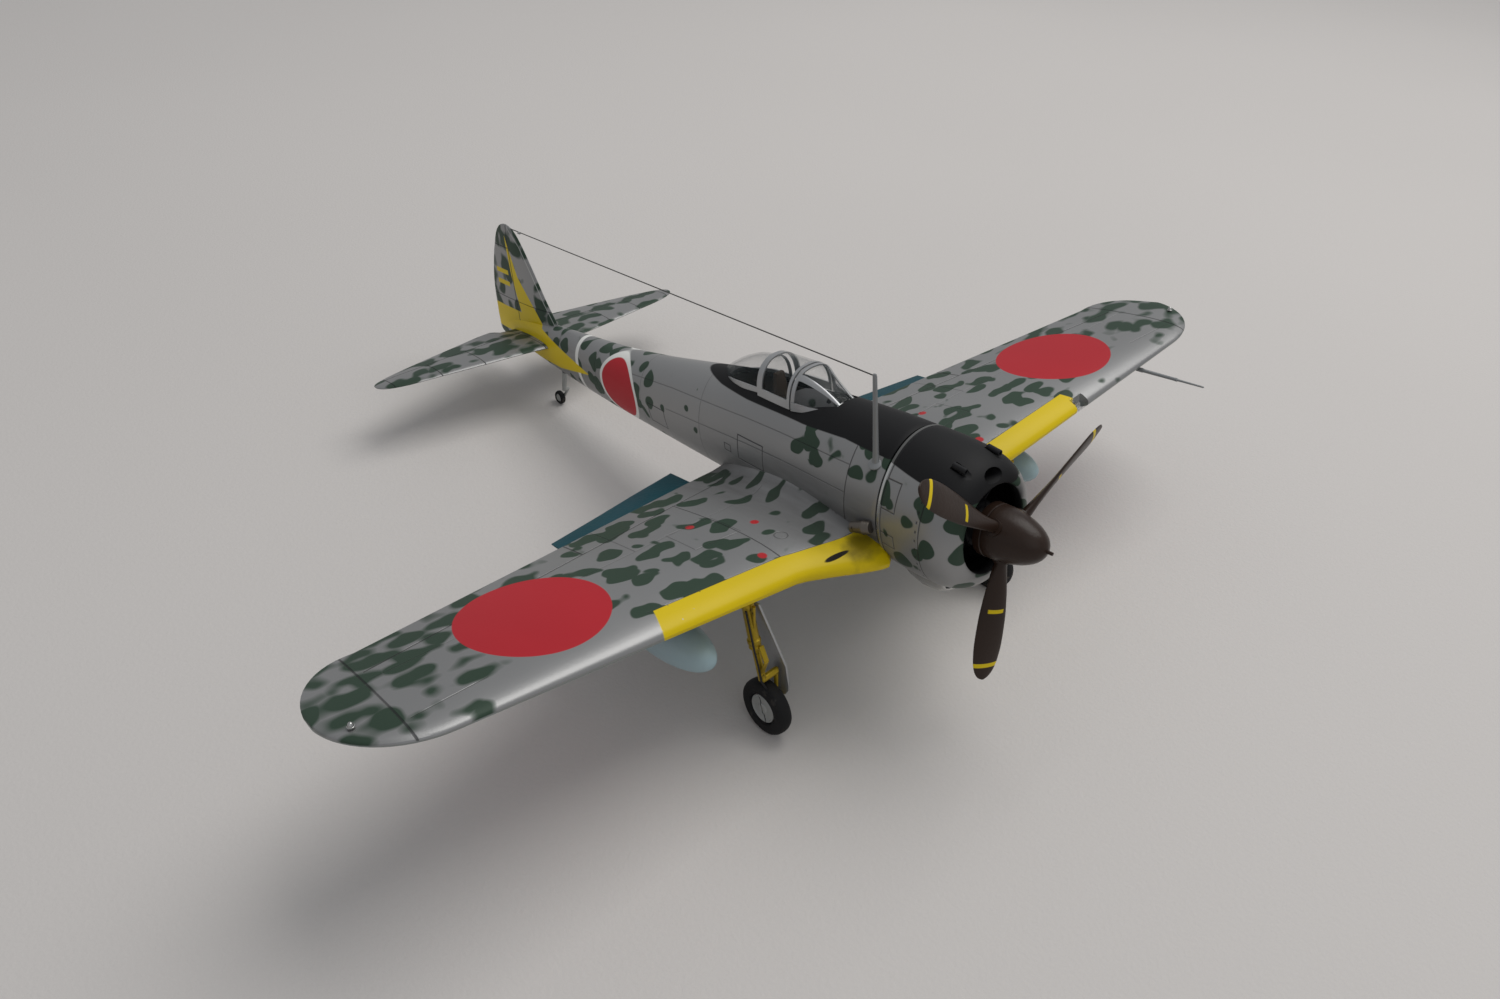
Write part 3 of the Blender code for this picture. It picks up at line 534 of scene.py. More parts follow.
def yellowFlash(y, z):
    # the tail's speed flash: from a point ahead of the white band up to the top of the fin
    upperEdge = profileField(y, {126.2: -2.1, 151: 3.4, 155.7: 9.0, 161.3: 15.5, 165.4: 26.0, 166: 40.0})
    lowerEdge = profileField(y, {126.2: -2.3, 143: -5.5, 158: -6.0, 160: -1.5, 177: -1.5})
    innerEdge = profileField(z, {5.2: 162.0, 15.5: 164.6, 26.0: 165.5})
    stroke = (y - innerEdge).under(0).use("MAXIMUM", z.under(5.4))
    return (z - upperEdge).under(0) * (z - lowerEdge).over(0) * stroke * z.under(26.0) * y.over(126.4)


def finLacquer():
    material, tree, shader, coat, point, (_, y, z) = newLacquer("silverLacquerFin")
    sprayedBlotches(tree, point, coat, profileField(z, {2: 0.5, 28: 0.43}), 11.0, 0.07)
    coat.cover(yellowFlash(y, z), markStyle["yellow"], 0.0, 0.4)
    # a plain squadron mark: two level bars
    across = (y - 169.6).use("ABSOLUTE").under(3.4, 0.08)
    coat.cover((z.line(15.6, 1.3) + z.line(12.4, 1.3)) * across, markStyle["yellow"], 0.0, 0.45)
    # painted highlight: a light stripe along the leading edge stands in for the light caught there
    frontEdge = profileField(z, {4.6: 145.0, 10: 149.0, 18: 153.8, 24: 157.6, 29: 163.0})
    coat.cover((y - frontEdge).line(1.1, 0.3) * 0.6, "c9ccca", 0.6, 0.35)
    behindHinge = y - profileField(z, {-4: 163.5, 27: 164.2})
    lines = [behindHinge.line(0.0, 0.36), z.line(22.8, 0.24) * behindHinge.over(0), z.line(8.2, 0.2)]
    lacquerFinish(tree, shader, point, coat, strongest(lines), 0)
    return material


def tailplaneLacquer():
    material, tree, shader, coat, point, (x, y, z) = newLacquer("silverLacquerTailplane")
    side = x.use("ABSOLUTE")
    sprayedBlotches(tree, point, coat, z.over(-0.9, 0.3) * -0.35 + 0.84, 14.0, 0.07)
    hinge = y + side * 0.02
    aheadOfHinge = hinge.under(162)
    lines = [hinge.line(162.0, 0.34) * side.under(43.0), side.line(43.4, 0.28), side.line(20.0) * aheadOfHinge,
             side.line(31.5) * aheadOfHinge, side.line(3.4)]
    lacquerFinish(tree, shader, point, coat, strongest(lines), 0)
    return material


def cowlLacquer():
    material, tree, shader, coat, point, (x, y, z) = newLacquer("silverLacquerCowl")
    sprayedBlotches(tree, point, coat, profileField(z, {-11: 0.55, 2: 0.58, 9: 0.54}), 17.0)
    glare = (z - profileField(y, {2.6: 7.6, 5: 9.0, 20: 11.1})).over(0, 0.08)
    coat.cover(glare, markStyle["black"], 0.0, 0.6)
    reach = distance(x, z * 0.96)
    inside = (reach - profileField(y, {2.6: 8.55, 4.6: 8.95, 6.0: 10.6, 7.5: 12.0})).under(0.0, 0.12)
    coat.cover(inside, "141415", 0.0, 0.6)
    coat.cover(y.line(19.35, 0.55) * glare.use("MULTIPLY_ADD", -0.8, 1.0), "c8c8c6", 0.9, 0.25)
    lines = [y.line(18.7, 0.26), y.line(9.2, 0.22) * z.under(8.5) * z.over(-10.0),
             x.use("ABSOLUTE").line(0.0, 0.3) * z.under(-5.0)]
    for low, high in ((3.6, 8.8), (-3.9, -1.2)):
        lines.append(hatchEdge(y - 17.0, z - (low + high) / 2, 1.7, (high - low) / 2).line(0.0, 0.22))
    fasteners = (z * 3.6).use("SINE").over(0.6, 0.2) * y.line(9.9, 0.3)
    lines.append(fasteners * z.under(9.0))
    lacquerFinish(tree, shader, point, coat, strongest(lines), z.under(-3.0, 4.0) * y.over(12.0, 5.0) * 0.35)
    return material


def propellerPaint(stripes):
    # dark brown enamel over plastic: thick, satin, slightly uneven where the brush overlapped
    material, tree, shader = newMaterial("brownEnamelStriped" if stripes else "brownEnamel")
    point, (x, _, z) = levelFields(tree)
    coat = Coat(tree, "2c1f18", 0.0, 0.34)
    if stripes:
        reach = distance(x, z)
        coat.cover(reach.line(27.3, 0.9), markStyle["yellow"], 0.0, 0.4)
        angle = z.use("ARCTAN2", x)
        across = (reach * ((angle * 3.0 - radians(63)).use("SINE")) * 0.3333).use("ABSOLUTE")
        coat.cover(reach.line(15.6, 0.8) * across.under(1.3), markStyle["yellow"], 0.0, 0.4)
    coat.shade(noiseField(tree, point, 9, detail=2, seed=2) * 0.3 + 0.85)
    coat.finish(shader, noiseField(tree, point, 0.7, detail=2), 0.00003)
    return material


def clearStyrene():
    # injection moulded clear polystyrene, polished: almost clear face on, brighter towards its edges
    material, tree, shader = newMaterial("clearStyrene")
    point, _ = levelFields(tree)
    shader.inputs["Base Color"].default_value = hexColor("5c6668")
    shader.inputs["Roughness"].default_value = 0.06
    shader.inputs["IOR"].default_value = 1.59
    facing = Field(tree, addNode(tree, "LayerWeight", {}, {"Blend": 0.35})[1])
    dust = noiseField(tree, point, 6, detail=4, seed=3) * 0.05
    alpha = facing.use("POWER", 2.0) * 0.34 + 0.03 + dust
    tree.links.new(alpha.socket, shader.inputs["Alpha"])
    return material


wingPaint = wingLacquer()
hullPaint = hullLacquer()
finPaint = finLacquer()
tailPaint = tailplaneLacquer()
cowlPaint = cowlLacquer()
bladePaint = propellerPaint(True)
spinnerPaint = propellerPaint(False)
clearPlastic = clearStyrene()
# matt black acrylic, dry and faintly chalky
engineBlack = plainFinish("mattBlackAcrylic", "19191b", 0.1, 0.55, 0.6, 0.00005, 0.2, "55534f")
# polished aluminium paint, buffed so that it throws sharp lights
brightMetal = plainFinish("buffedAluminiumPaint", "b4b4b2", 0.95, 0.24, 0.5, 0.00002, 0.15)
# canopy frames brushed with silver lacquer, a little thick at their edges
frameSilver = plainFinish("brushedSilverLacquer", "a9aaab", 0.7, 0.33, 0.5, 0.00004, 0.12)
# iron-coloured paint browned by heat, blotched and dull where the exhaust runs hot
burntMetal = plainFinish("burntIronPaint", "6b655e", 0.8, 0.42, 0.4, 0.00006, 0.25, "2b2019")
# matt black enamel brushed on the tyres, almost without shine, dusty on its high spots
tyreBlack = plainFinish("mattTyreBlack", "141415", 0.0, 0.68, 0.5, 0.00005, 0.15, "3c3a38")
# grey paint with a little metal in it, sprayed thin so the hubs shine softly
hubGrey = plainFinish("greyWheelPaint", "9ea09e", 0.4, 0.42, 0.5, 0.00004, 0.12)
# clear teal sprayed over silver, so the metal shows through it in darker and lighter patches
flapTeal = plainFinish("tealPrimerOverSilver", "0f4a55", 0.35, 0.42, 0.8, 0.00004, 0.2)
# flat brown paint brushed in the cockpit, dry-brushed lighter on its edges
cockpitBrown = plainFinish("brownCockpitPaint", "3a2d22", 0.0, 0.6, 0.6, 0.00005, 0.2, "6d6050")
# thick flat tan paint that gives the moulded belts the look of woven cloth
beltCloth = plainFinish("tanBeltPaint", "8a7a5c", 0.0, 0.75, 0.3, 0.00005, 0.15)
# pale blue satin paint sprayed in one even coat, with a broad soft light along the tank
tankBlue = plainFinish("paleBlueTankPaint", "9db3b9", 0.05, 0.42, 0.9, 0.00004, 0.1)
# yellow-olive metallic brushed on the legs, washed dark in the corners
legYellow = plainFinish("yellowOliveMetallic", "a98f26", 0.6, 0.36, 0.5, 0.00004, 0.2, "4a3f14")
# thin grey paint on fine parts, smooth enough to carry a narrow light along them
mastGrey = plainFinish("greyMastPaint", "8d8f90", 0.4, 0.42, 0.4, 0.00004, 0.1)
# stretched plastic thread, drawn smooth and left bare, with a faint gloss
aerialThread = plainFinish("stretchedThread", "4a4948", 0.0, 0.5, 0.3, 0.00001, 0.1)
# black wire drawn through paint, smooth and slightly shiny like rubber hose
hoseRubber = plainFinish("blackHose", "202022", 0.0, 0.5, 0.3, 0.00003, 0.1)
print("materials made")


# Camera, made before the pieces

cameraStyle = {"place": (-0.1422, -0.1635, 0.168), "lens": 26.64, "turn": (52.88, -3.19, -41.62)}


def makeCamera():
    style = cameraStyle
    data = bpy.data.cameras.new("camera")
    data.sensor_width, data.lens = 36, style["lens"]
    data.clip_start, data.clip_end = 0.005, 20
    camera = bpy.data.objects.new("camera", data)
    bpy.context.scene.collection.objects.link(camera)
    camera.location = style["place"]
    camera.rotation_euler = [radians(a) for a in style["turn"]]
    bpy.context.scene.camera = camera
    bpy.context.scene.view_settings.view_transform = "Standard"


makeCamera()


# Wing

wingStyle = {"halfSpan": 112.9, "tipStart": 97.0, "leading": 23.5, "tipCentre": 38.0, "plane": -8.6,
             "dihedral": 0.1115}
rootFront = {0: (20.5,), 8: (20.5,), 11.5: (17.2,), 14: (17.8,), 24: (22.0,), 29: (23.5,), 97: (23.5,)}
hullSections = {
    20.2: (12.5, 14.9, -13.2), 28: (12.2, 15.1, -13.2), 39: (11.2, 15.0, -13.1), 48: (10.4, 14.4, -12.9),
    59: (9.8, 13.9, -12.7), 68: (9.1, 13.3, -12.5), 76: (8.5, 12.1, -12.2), 88: (7.6, 10.1, -11.8),
    100: (6.6, 8.2, -11.3), 117: (5.4, 6.3, -10.5), 131: (4.2, 5.6, -9.5), 146: (3.0, 4.9, -7.8),
    158: (2.0, 4.0, -6.2), 168: (1.1, 3.0, -4.6), 173.5: (0.5, 2.0, -3.2),
}


def wingFront(x):
    s = wingStyle
    if x > s["tipStart"]:
        share = min(1, (x - s["tipStart"]) / (s["halfSpan"] - s["tipStart"]))
        return s["tipCentre"] - (s["tipCentre"] - s["leading"]) * sqrt(1 - share**2)
    return smoothAt(rootFront, x)[0]


def wingRear(x):
    s = wingStyle
    if x > 101:
        return s["tipCentre"] + 13.8 * sqrt(1 - min(1, (x - 101) / (s["halfSpan"] - 101))**2)
    return smoothAt({0: (73.2,), 14: (70.6,), 104: (51.0,)}, x)[0] if x < 14 else 70.6 - (x - 14) * 0.21778


def wingPlane(x):
    return wingStyle["plane"] + wingStyle["dihedral"] * max(0, x - 10)


def wingPoint(x, share, upper):
    front, rear = wingFront(x), wingRear(x)
    y = front + (rear - front) * share
    shape = (2.969 * sqrt(share) - 1.26 * share - 3.516 * share**2 + 2.843 * share**3 - 1.03 * share**4)
    reach = min(1, max(0, (x - 10) / 94))
    thinning = max(0.0, 1 - max(0, x - 104) / 8.9)
    if upper:
        depth = (4.3 + (1.25 - 4.3) * reach) * (0.3 + 0.7 * sqrt(thinning))
        fillet = 3.6 * max(0, (17.5 - x) / 7.5)**2 * sin(pi * share)
        return y, wingPlane(x) + 0.1 + depth * shape + fillet
    depth = (3.6 + (1.0 - 3.6) * reach) * (0.3 + 0.7 * sqrt(thinning))
    z = wingPlane(x) - 0.1 - depth * shape
    width, _, bottom = smoothAt(hullSections, y)
    if x < width:
        z = min(z, bottom * sqrt(1 - (x / width)**2) - 0.06)
    return y, z


def makeWing():
    s = wingStyle
    stations = [0, 2, 4, 6, 8, 9.2, 10.4, 11.5, 12.5, 13.5, 14.5, 16, 18, 20, 22, 24, 26.5, 29]
    stations += spaced(34, 92, 14)
    tipLength = s["halfSpan"] - 0.12 - s["tipStart"]
    stations += [s["tipStart"] + tipLength * sin(pi / 2 * i / 16) for i in range(17)]
    shares = [0.5 * (1 - cos(pi * i / 22)) for i in range(23)]
    rows = []
    for x in [-x for x in reversed(stations[1:])] + stations:
        top = [(x, *wingPoint(abs(x), u, True)) for u in reversed(shares)]
        under = [(x, *wingPoint(abs(x), u, False)) for u in shares[1:]]
        rows.append(top + under + top[:1])
    wing = gridPiece("wing", rows)
    cut(wing, boxPiece("notchCutter", (57.4, 18, -9), (61.6, 25.8, 4)))
    place(wing, wingPaint, ["wing_lower", "wing_upper_left", "wing_upper_right"], 32)


makeWing()


def makeLandingLight():
    # the lens is the leading edge's own shape over the notch, with a small lamp behind it
    shares = [0.075, 0.05, 0.03, 0.015, 0.006, 0.0]
    rows = []
    for x in spaced(57.55, 61.45, 4):
        top = [(x, *wingPoint(x, u, True)) for u in shares]
        rows.append(top + [(x, *wingPoint(x, u, False)) for u in reversed(shares)])
    lens = gridPiece("landingLightLens", rows, False)
    modify(lens, "SOLIDIFY", thickness=0.25, offset=-1)
    place(lens, clearPlastic, ["landing_light_cover"])
    reflector = [(0, 0.5), (0.5, 0.75), (1.1, 0.95), (1.15, 0.86), (0.75, 0.5), (0.7, 0.12)]
    place(lathed("landingLamp", reflector, 24, (59.5, 25.9, -3.1), (0, -1, 0)), brightMetal)


makeLandingLight()
print("wing made")


# Fuselage and fin

def ovalRow(section, y, steps=64):
    width, top, bottom = section
    row = []
    for i in range(steps + 1):
        a = 2 * pi * i / steps
        row.append((width * cos(a), y, (top if a <= pi else -bottom) * sin(a)))
    return row


windscreenTable = {
    37.8: (2.6, 13.9, 15.0), 38.5: (3.2, 13.6, 15.6), 42: (4.4, 12.7, 17.6), 45.5: (5.4, 12.1, 19.1),
    49: (6.1, 11.9, 19.7), 54: (5.9, 11.9, 19.8), 59.2: (5.5, 11.9, 19.6),
}
rearCanopyTable = {
    59.5: (4.75, 11.4, 18.7), 64: (4.7, 11.4, 18.2), 68: (4.2, 11.3, 16.8), 71.5: (3.1, 11.1, 14.9),
    74.7: (1.2, 10.9, 12.7),
}


def makeHull():
    ends = [20.2, 20.6, 21.4]
    stations = ends + spaced(23.5, 170, 58) + [171.5, 172.6, 173.5, 174.0]
    rows = []
    for y in stations:
        section = smoothAt(hullSections, y)
        if y < 21:
            section = [v * (0.985 if y < 20.4 else 0.997) for v in section]
        if y > 173.6:
            section = [v * 0.6 for v in section]
        rows.append(ovalRow(section, y))
    hull = gridPiece("hull", rows)
    hull.data.materials.append(hullPaint)
    hull.data.materials.append(cockpitBrown)
    modify(hull, "SOLIDIFY", thickness=0.9, offset=-1, material_offset=1)
    # the cockpit's opening follows the foot of the canopy
    outline = [(y, table[y][0] - 0.35) for table in (windscreenTable, rearCanopyTable) for y in sorted(table)
               if 38 < y < 73]
    corners = ((-1, 9.8), (1, 9.8), (1, 23), (-1, 23), (-1, 9.8))
    cut(hull, gridPiece("openingCutter", [[(sign * w, y, z) for sign, z in corners] for y, w in outline]))
    place(hull, [hullPaint, cockpitBrown], ["fuselage_left", "fuselage_right"], 40)


makeHull()

finTable = {
    -3.9: (168.0, 175.0, 0.9), -2.4: (167.0, 176.9, 1.3), 2.0: (162.0, 177.0, 1.7), 4.0: (144.6, 176.8, 2.1),
    4.6: (145.0, 176.8, 2.0), 10: (149.0, 176.4, 1.9), 18: (153.8, 174.2, 1.6), 24: (157.6, 171.5, 1.3),
    26: (159.1, 170.4, 1.1), 27: (160.0, 169.6, 1.0), 28.2: (161.6, 168.2, 0.8), 28.9: (163.4, 166.6, 0.5),
    29.1: (164.4, 165.6, 0.25),
}


def foilRow(front, rear, thick, cross, steps=14):
    # a slim symmetrical section: points (across, along) from the tail round the nose and back
    shares = [0.5 * (1 - cos(pi * i / steps)) for i in range(steps + 1)]
    half = [thick / 2 * (1.9 * sqrt(u) * (1 - u) + 0.32 * u * (1 - u) + 0.1 * u) / 0.78 for u in shares]
    side = [(front + (rear - front) * u, h) for u, h in zip(shares, half)]
    return [cross(along, h) for along, h in reversed(side)] + [cross(along, -h) for along, h in side[1:]] + \
           [cross(*side[-1])]


def makeFin():
    levels = [-3.9, -3.2, -2.4, -1, 0.5, 2, 4.0] + spaced(4.6, 25, 16) + [26, 27, 27.7, 28.3, 28.7, 28.95, 29.1]
    rows = []
    for z in levels:
        front, rear, thick = smoothAt(finTable, z)
        rows.append(foilRow(front, rear, thick, lambda along, h, z=z: (h, along, z)))
    place(gridPiece("finAndRudder", rows), finPaint, (), 40)


makeFin()

tailplaneTable = {
    0.8: (147.0, 167.4, 1.9), 5: (147.9, 167.8, 1.9), 7.5: (148.6, 170.4, 1.8), 20: (150.6, 168.2, 1.6),
    32: (152.6, 165.6, 1.3), 40: (154.0, 163.6, 1.1), 44.5: (155.7, 162.0, 0.8), 46.3: (157.2, 160.9, 0.55),
    46.8: (158.2, 160.1, 0.3),
}


def makeTailplanes():
    rows = []
    for x in [0.8, 2.5, 4, 5.5, 6.5, 7.5] + spaced(9.5, 42, 16) + [43.2, 44.2, 45, 45.7, 46.2, 46.6, 46.8]:
        front, rear, thick = smoothAt(tailplaneTable, x)
        rows.append(foilRow(front, rear, thick * 1.05, lambda along, h, x=x: (x, along, -0.8 + h)))
    left = gridPiece("tailplaneLeft", rows)
    right = copied(left, "tailplaneRight", Matrix.Scale(-1, 4, (1, 0, 0)))
    place(left, tailPaint, ["tailplane_left"], 40)
    place(right, tailPaint, ["tailplane_right"], 40)


makeTailplanes()
print("fuselage and tail made")


# Cowling, engine and propeller

cowlTable = {
    2.45: (8.8, 9.1, -9.0), 2.5: (9.2, 9.5, -9.4), 2.7: (9.9, 10.2, -10.1), 3.2: (10.8, 11.1, -11.0),
    4.2: (11.8, 12.1, -12.1), 5.6: (12.5, 12.9, -12.9), 7.5: (13.0, 13.6, -13.5), 10: (13.2, 14.1, -13.7),
    15: (13.0, 14.7, -13.6), 19.6: (12.6, 14.95, -13.25),
}
cowlInside = {2.55: (8.6, 8.9, -8.8), 3.4: (8.4, 8.7, -8.6), 4.6: (8.7, 9.0, -8.9), 6: (10.2, 10.7, -10.4),
              7.5: (11.4, 12.3, -11.9), 9: (11.6, 12.6, -12.3), 19.9: (11.7, 14.0, -12.3)}
cowlStyle = {"gunX": 4.8, "gunRadius": 1.15}


def makeCowl():
    outside = [2.45, 2.5, 2.58, 2.7, 2.9, 3.2, 3.7, 4.3, 5, 5.8, 6.7, 7.8] + spaced(9, 19.6, 9)
    inside = [19.9, 17, 13, 9, 8, 7.2, 6.5, 5.8, 5.2, 4.6, 4, 3.4, 2.95, 2.7, 2.55]
    rows = [ovalRow(smoothAt(cowlTable, y), y, 80) for y in outside]
    rows += [ovalRow(smoothAt(cowlInside, y), y, 80) for y in inside]
    rows.append(rows[0])
    cowl = gridPiece("cowl", rows, False)
    gunX, gunRadius = cowlStyle["gunX"], cowlStyle["gunRadius"]
    trough = [(0, gunRadius), (7.0, gunRadius * 0.9)]
    cutters = [lathed("troughCutter", trough, 24, (side * gunX, 1.5, 11.9), (0, 1, 0.2))
               for side, _ in bothSides]
    intake = turnedPiece("intakeCutter", [(0, 1.1), (5.5, 1.1)], 24)
    intake.data.transform(Matrix.Scale(2.1, 4, (1, 0, 0)))
    cut(cowl, *cutters, turnTo(intake, (0, 1.5, 10.6), (0, 1, 0.1)))
    place(cowl, cowlPaint, ["cowling"], 40)
    # gun blast tubes in their troughs
    muzzle = [(0, 0.45), (0.1, 0.62), (2.9, 0.62), (3.0, 0.5), (2.9, 0.34), (1.4, 0.3)]
    for side, label in bothSides:
        tube = lathed("gunTube" + label, muzzle, 20, (side * gunX, 8.3, 13.0), (0, -1, -0.16))
        place(tube, engineBlack)


makeCowl()


cylinderStyle = {"count": 7, "fins": 9, "finStep": 0.52, "barrel": 1.45, "fin": 1.95,
                 "head": [(9.6, 1.5), (9.7, 2.0), (10.4, 1.9), (10.75, 1.3), (10.8, 0.6)]}


def engineRow(name, y, first, node):
    # one finned cylinder is drawn and copied round the crankcase
    style = cylinderStyle
    inner, outer = style["barrel"], style["fin"]
    fins = []
    for i in range(style["fins"]):
        r = 4.7 + i * style["finStep"]
        fins += [(r, inner), (r + 0.06, outer), (r + 0.2, outer), (r + 0.26, inner)]
    barrel = turnedPiece("cylinder", [(3.8, inner)] + fins + style["head"], 20)
    rod1 = turnedPiece("pushrod", [(4.2, 0.22), (10.2, 0.22)], 8)
    rod1.data.transform(Matrix.Translation((0.7, -1.95, 0)))
    rod2 = copied(rod1, "pushrod2", Matrix.Translation((-1.4, 0, 0)))
    rocker = boxPiece("rocker", (-1.1, -2.1, 9.7), (1.1, -0.7, 10.7), 0.2)
    cylinder = joined([barrel, rod1, rod2, rocker])
    parts = []
    for i in range(style["count"]):
        # local Z goes out along the cylinder, and local -Y stays forward
        turn = Matrix.Rotation(pi / 2 - radians(first + i * 360 / style["count"]), 4, "Y")
        parts.append(copied(cylinder, name + "Part", Matrix.Translation((0, y, 0)) @ turn))
    bpy.data.objects.remove(cylinder)
    case = lathed(name + "Case", mirrored([(-2.4, 4.3), (-2.1, 4.8), (-1, 5.0)]), 40, (0, y, 0), (0, 1, 0))
    row = joined([case] + parts)
    row.name = name
    place(row, engineBlack, [node], 30)


engineRow("engineFrontRow", 10.0, 90, "engine_front_row")
engineRow("engineRearRow", 15.6, 90 + 180 / cylinderStyle["count"], "engine_rear_row")


def makeGearCase():
    profile = [(4.25, 2.0), (4.25, 2.9), (4.5, 3.2), (5.2, 3.5), (5.5, 4.2), (6.0, 4.4), (7.2, 4.5), (7.3, 4.2)]
    case = lathed("gearCase", profile, 48, (0, 0, 0), (0, 1, 0))
    bolts = []
    for a in (2 * pi * i / 10 for i in range(10)):
        ring = (3.95 * cos(a), 5.6, 3.95 * sin(a))
        bolts.append(lathed("bolt", [(0, 0.26), (0.25, 0.26), (0.3, 0.2)], 6, ring, (0, -1, 0)))
    place(joined([case] + bolts), engineBlack, ["engine_gear_case"], 30)


makeGearCase()

bladeTable = {
    2.4: (2.2, 2.2, 52), 6: (2.5, 1.9, 48), 9: (3.3, 1.4, 42), 13: (4.4, 1.1, 36), 18: (5.4, 0.9, 30),
    23: (5.7, 0.8, 26), 26.5: (5.2, 0.65, 23), 28.6: (4.1, 0.5, 22.3), 29.8: (2.7, 0.42, 22),
    30.3: (1.6, 0.36, 21), 30.5: (0.7, 0.3, 21),
}
bladeAngles = (21, 141, 261)
spinnerStyle = {"nose": -8.9, "radius": 5.15}


def makePropeller():
    rows = []
    for r in spaced(2.4, 28, 26) + [28.6, 29.2, 29.7, 30.05, 30.3, 30.45, 30.5]:
        chord, thick, pitch = smoothAt(bladeTable, r)
        along = Vector((0, -sin(radians(pitch)), cos(radians(pitch))))
        across = Vector((1, 0, 0)).cross(along)
        row = []
        for t in (2 * pi * i / 24 for i in range(25)):
            camber = 0.2 * thick * sin(t)**2
            row.append(Vector((r, 0, 0)) + along * (chord / 2 * cos(t)) + across * (thick / 2 * sin(t) + camber))
        rows.append(row)
    blade = gridPiece("blade", rows)
    blades = [copied(blade, "blade" + str(i), Matrix.Rotation(-radians(a), 4, "Y"))
              for i, a in enumerate(bladeAngles)]
    bpy.data.objects.remove(blade)
    hub = lathed("hub", mirrored([(-1.5, 3.2), (-1.3, 3.6)]), 40, (0, 0, 0), (0, 1, 0))
    propeller = joined([hub] + blades)
    propeller.name = "propellerBlades"
    place(propeller, bladePaint, ["propeller"], 40, "propeller_assembly")
    # the starter dog stands on the spinner's nose
    nose, length = spinnerStyle["nose"], 1.6 - spinnerStyle["nose"]
    profile = [(-10.15, 0.22), (-10.1, 0.32), (-9.5, 0.34), (-9.0, 0.36), (-8.86, 0.75)]
    profile += [(nose + length * (1 - cos(t)), spinnerStyle["radius"] * sin(t)**0.92)
                for t in (pi / 2 * i / 18 for i in range(3, 19))]
    parts = [lathed("spinnerCone", profile + [(1.62, 4.9)], 64, (0, 0, 0), (0, 1, 0))]
    for a in bladeAngles:
        collar = turnedPiece("collar", [(3.4, 1.5), (4.9, 1.62), (5.25, 1.6), (5.3, 1.3)], 32)
        collar.data.transform(Matrix.Scale(1.15, 4, (1, 0, 0)))
        parts.append(turnTo(collar, (0, 0, 0), (cos(radians(a)), 0, sin(radians(a)))))
    place(joined(parts), spinnerPaint, ["spinner"], 30, "propeller_assembly")
    rim = [(1.75, 4.6), (1.8, 5.0), (1.95, 5.15), (3.3, 5.15), (3.5, 5.0), (3.5, 1.3)]
    plate = lathed("spinnerPlate", rim, 64, (0, 0, 0), (0, 1, 0))
    place(plate, spinnerPaint, ["spinner_backplate"], 30, "propeller_assembly")


makePropeller()


def makeNoseFittings():
    place(refinedCopy("oilCooler", "oil_cooler", 0.12), brightMetal, ["oil_cooler"], 40)
    grille = boxPiece("coolerGrille", (-2.6, 12.4, -16.4), (2.6, 12.9, -13.9), 0.1)
    levels = [-14.4 - i * 0.42 for i in range(5)]
    bars = [boxPiece("bar", (-2.5, 12.2, z), (2.5, 12.45, z + 0.15)) for z in levels]
    place(joined([grille] + bars), engineBlack)
    profile = [(0, 1.1), (0.2, 1.25), (1.2, 1.28), (1.35, 1.4), (1.6, 1.4), (1.75, 1.22), (3.6, 1.08),
               (4.3, 1.05), (4.35, 0.95), (4.3, 0.8), (2.5, 0.74)]
    for side, label in bothSides:
        pipe = lathed("exhaust" + label, profile, 32, (13.0 * side, 20.6, -1.2), (0.95 * side, 4.2, -1.05))
        place(pipe, burntMetal, ["exhaust_" + label.lower()], 40)


makeNoseFittings()
print("engine and propeller made")


# Canopy: clear shells with painted frames standing just proud of them

def archPoint(section, y, angle, grow=0.0):
    width, base, top = section
    power = 0.8
    c, s = cos(angle), max(sin(angle), 0.0)
    across = copysign(abs(c)**power, c)
    return ((width + grow) * across, y, base + (top + grow - base) * s**power)


screenStyle = {"foot": (38.2, 13.9), "slope": 0.614, "paneHalf": 2.0, "paneAngle": radians(55)}


def screenPoint(y, angle, grow=0.0):
    # three flat panes at the foot of the windscreen, which round into the hood's arch towards the rear
    s = screenStyle
    width, base, top = smoothAt(windscreenTable, y)
    top = min(s["foot"][1] + (y - s["foot"][0]) * s["slope"], top)
    rounded = Vector(archPoint((width, base, top), y, angle, grow))
    lean = min(angle, pi - angle) / s["paneAngle"]
    if lean < 1:
        across = width + grow + (s["paneHalf"] - width) * lean
        flat = Vector((copysign(across, cos(angle)), y, base + (top + grow - base) * lean))
    else:
        flat = Vector((s["paneHalf"] * cos(angle) / cos(s["paneAngle"]), y, top + grow))
    return flat.lerp(rounded, min(1, max(0, (y - s["foot"][0]) / 9.8))**1.6)


def archPatch(name, table, stations, angles, grow, thickness):
    if table is windscreenTable and stations[0] < 48:
        rows = [[screenPoint(y, a, grow) for a in angles] for y in stations]
    else:
        rows = [[archPoint(smoothAt(table, y), y, a, grow) for a in angles] for y in stations]
    patch = gridPiece(name, rows, False)
    # the shell's outside faces away from the canopy's middle
    patch.data.update()
    face = patch.data.polygons[len(patch.data.polygons) // 2]
    if face.normal.z < 0 and len(angles) > 10:
        patch.data.flip_normals()
    return modify(patch, "SOLIDIFY", thickness=thickness, offset=-1)


def clearShell(name, table, stations, angles, node, body="airframe"):
    place(archPatch(name, table, stations, angles, 0.0, 0.35), clearPlastic, [node], 50, body)


def paintedFrame(name, table, stations, angles, grow, thickness=0.3, body="airframe"):
    patch = archPatch(name, table, stations, angles, grow, thickness)
    place(patch, frameSilver, (), 50, body)


def farSide(angles):
    return [pi - a for a in reversed(angles)]


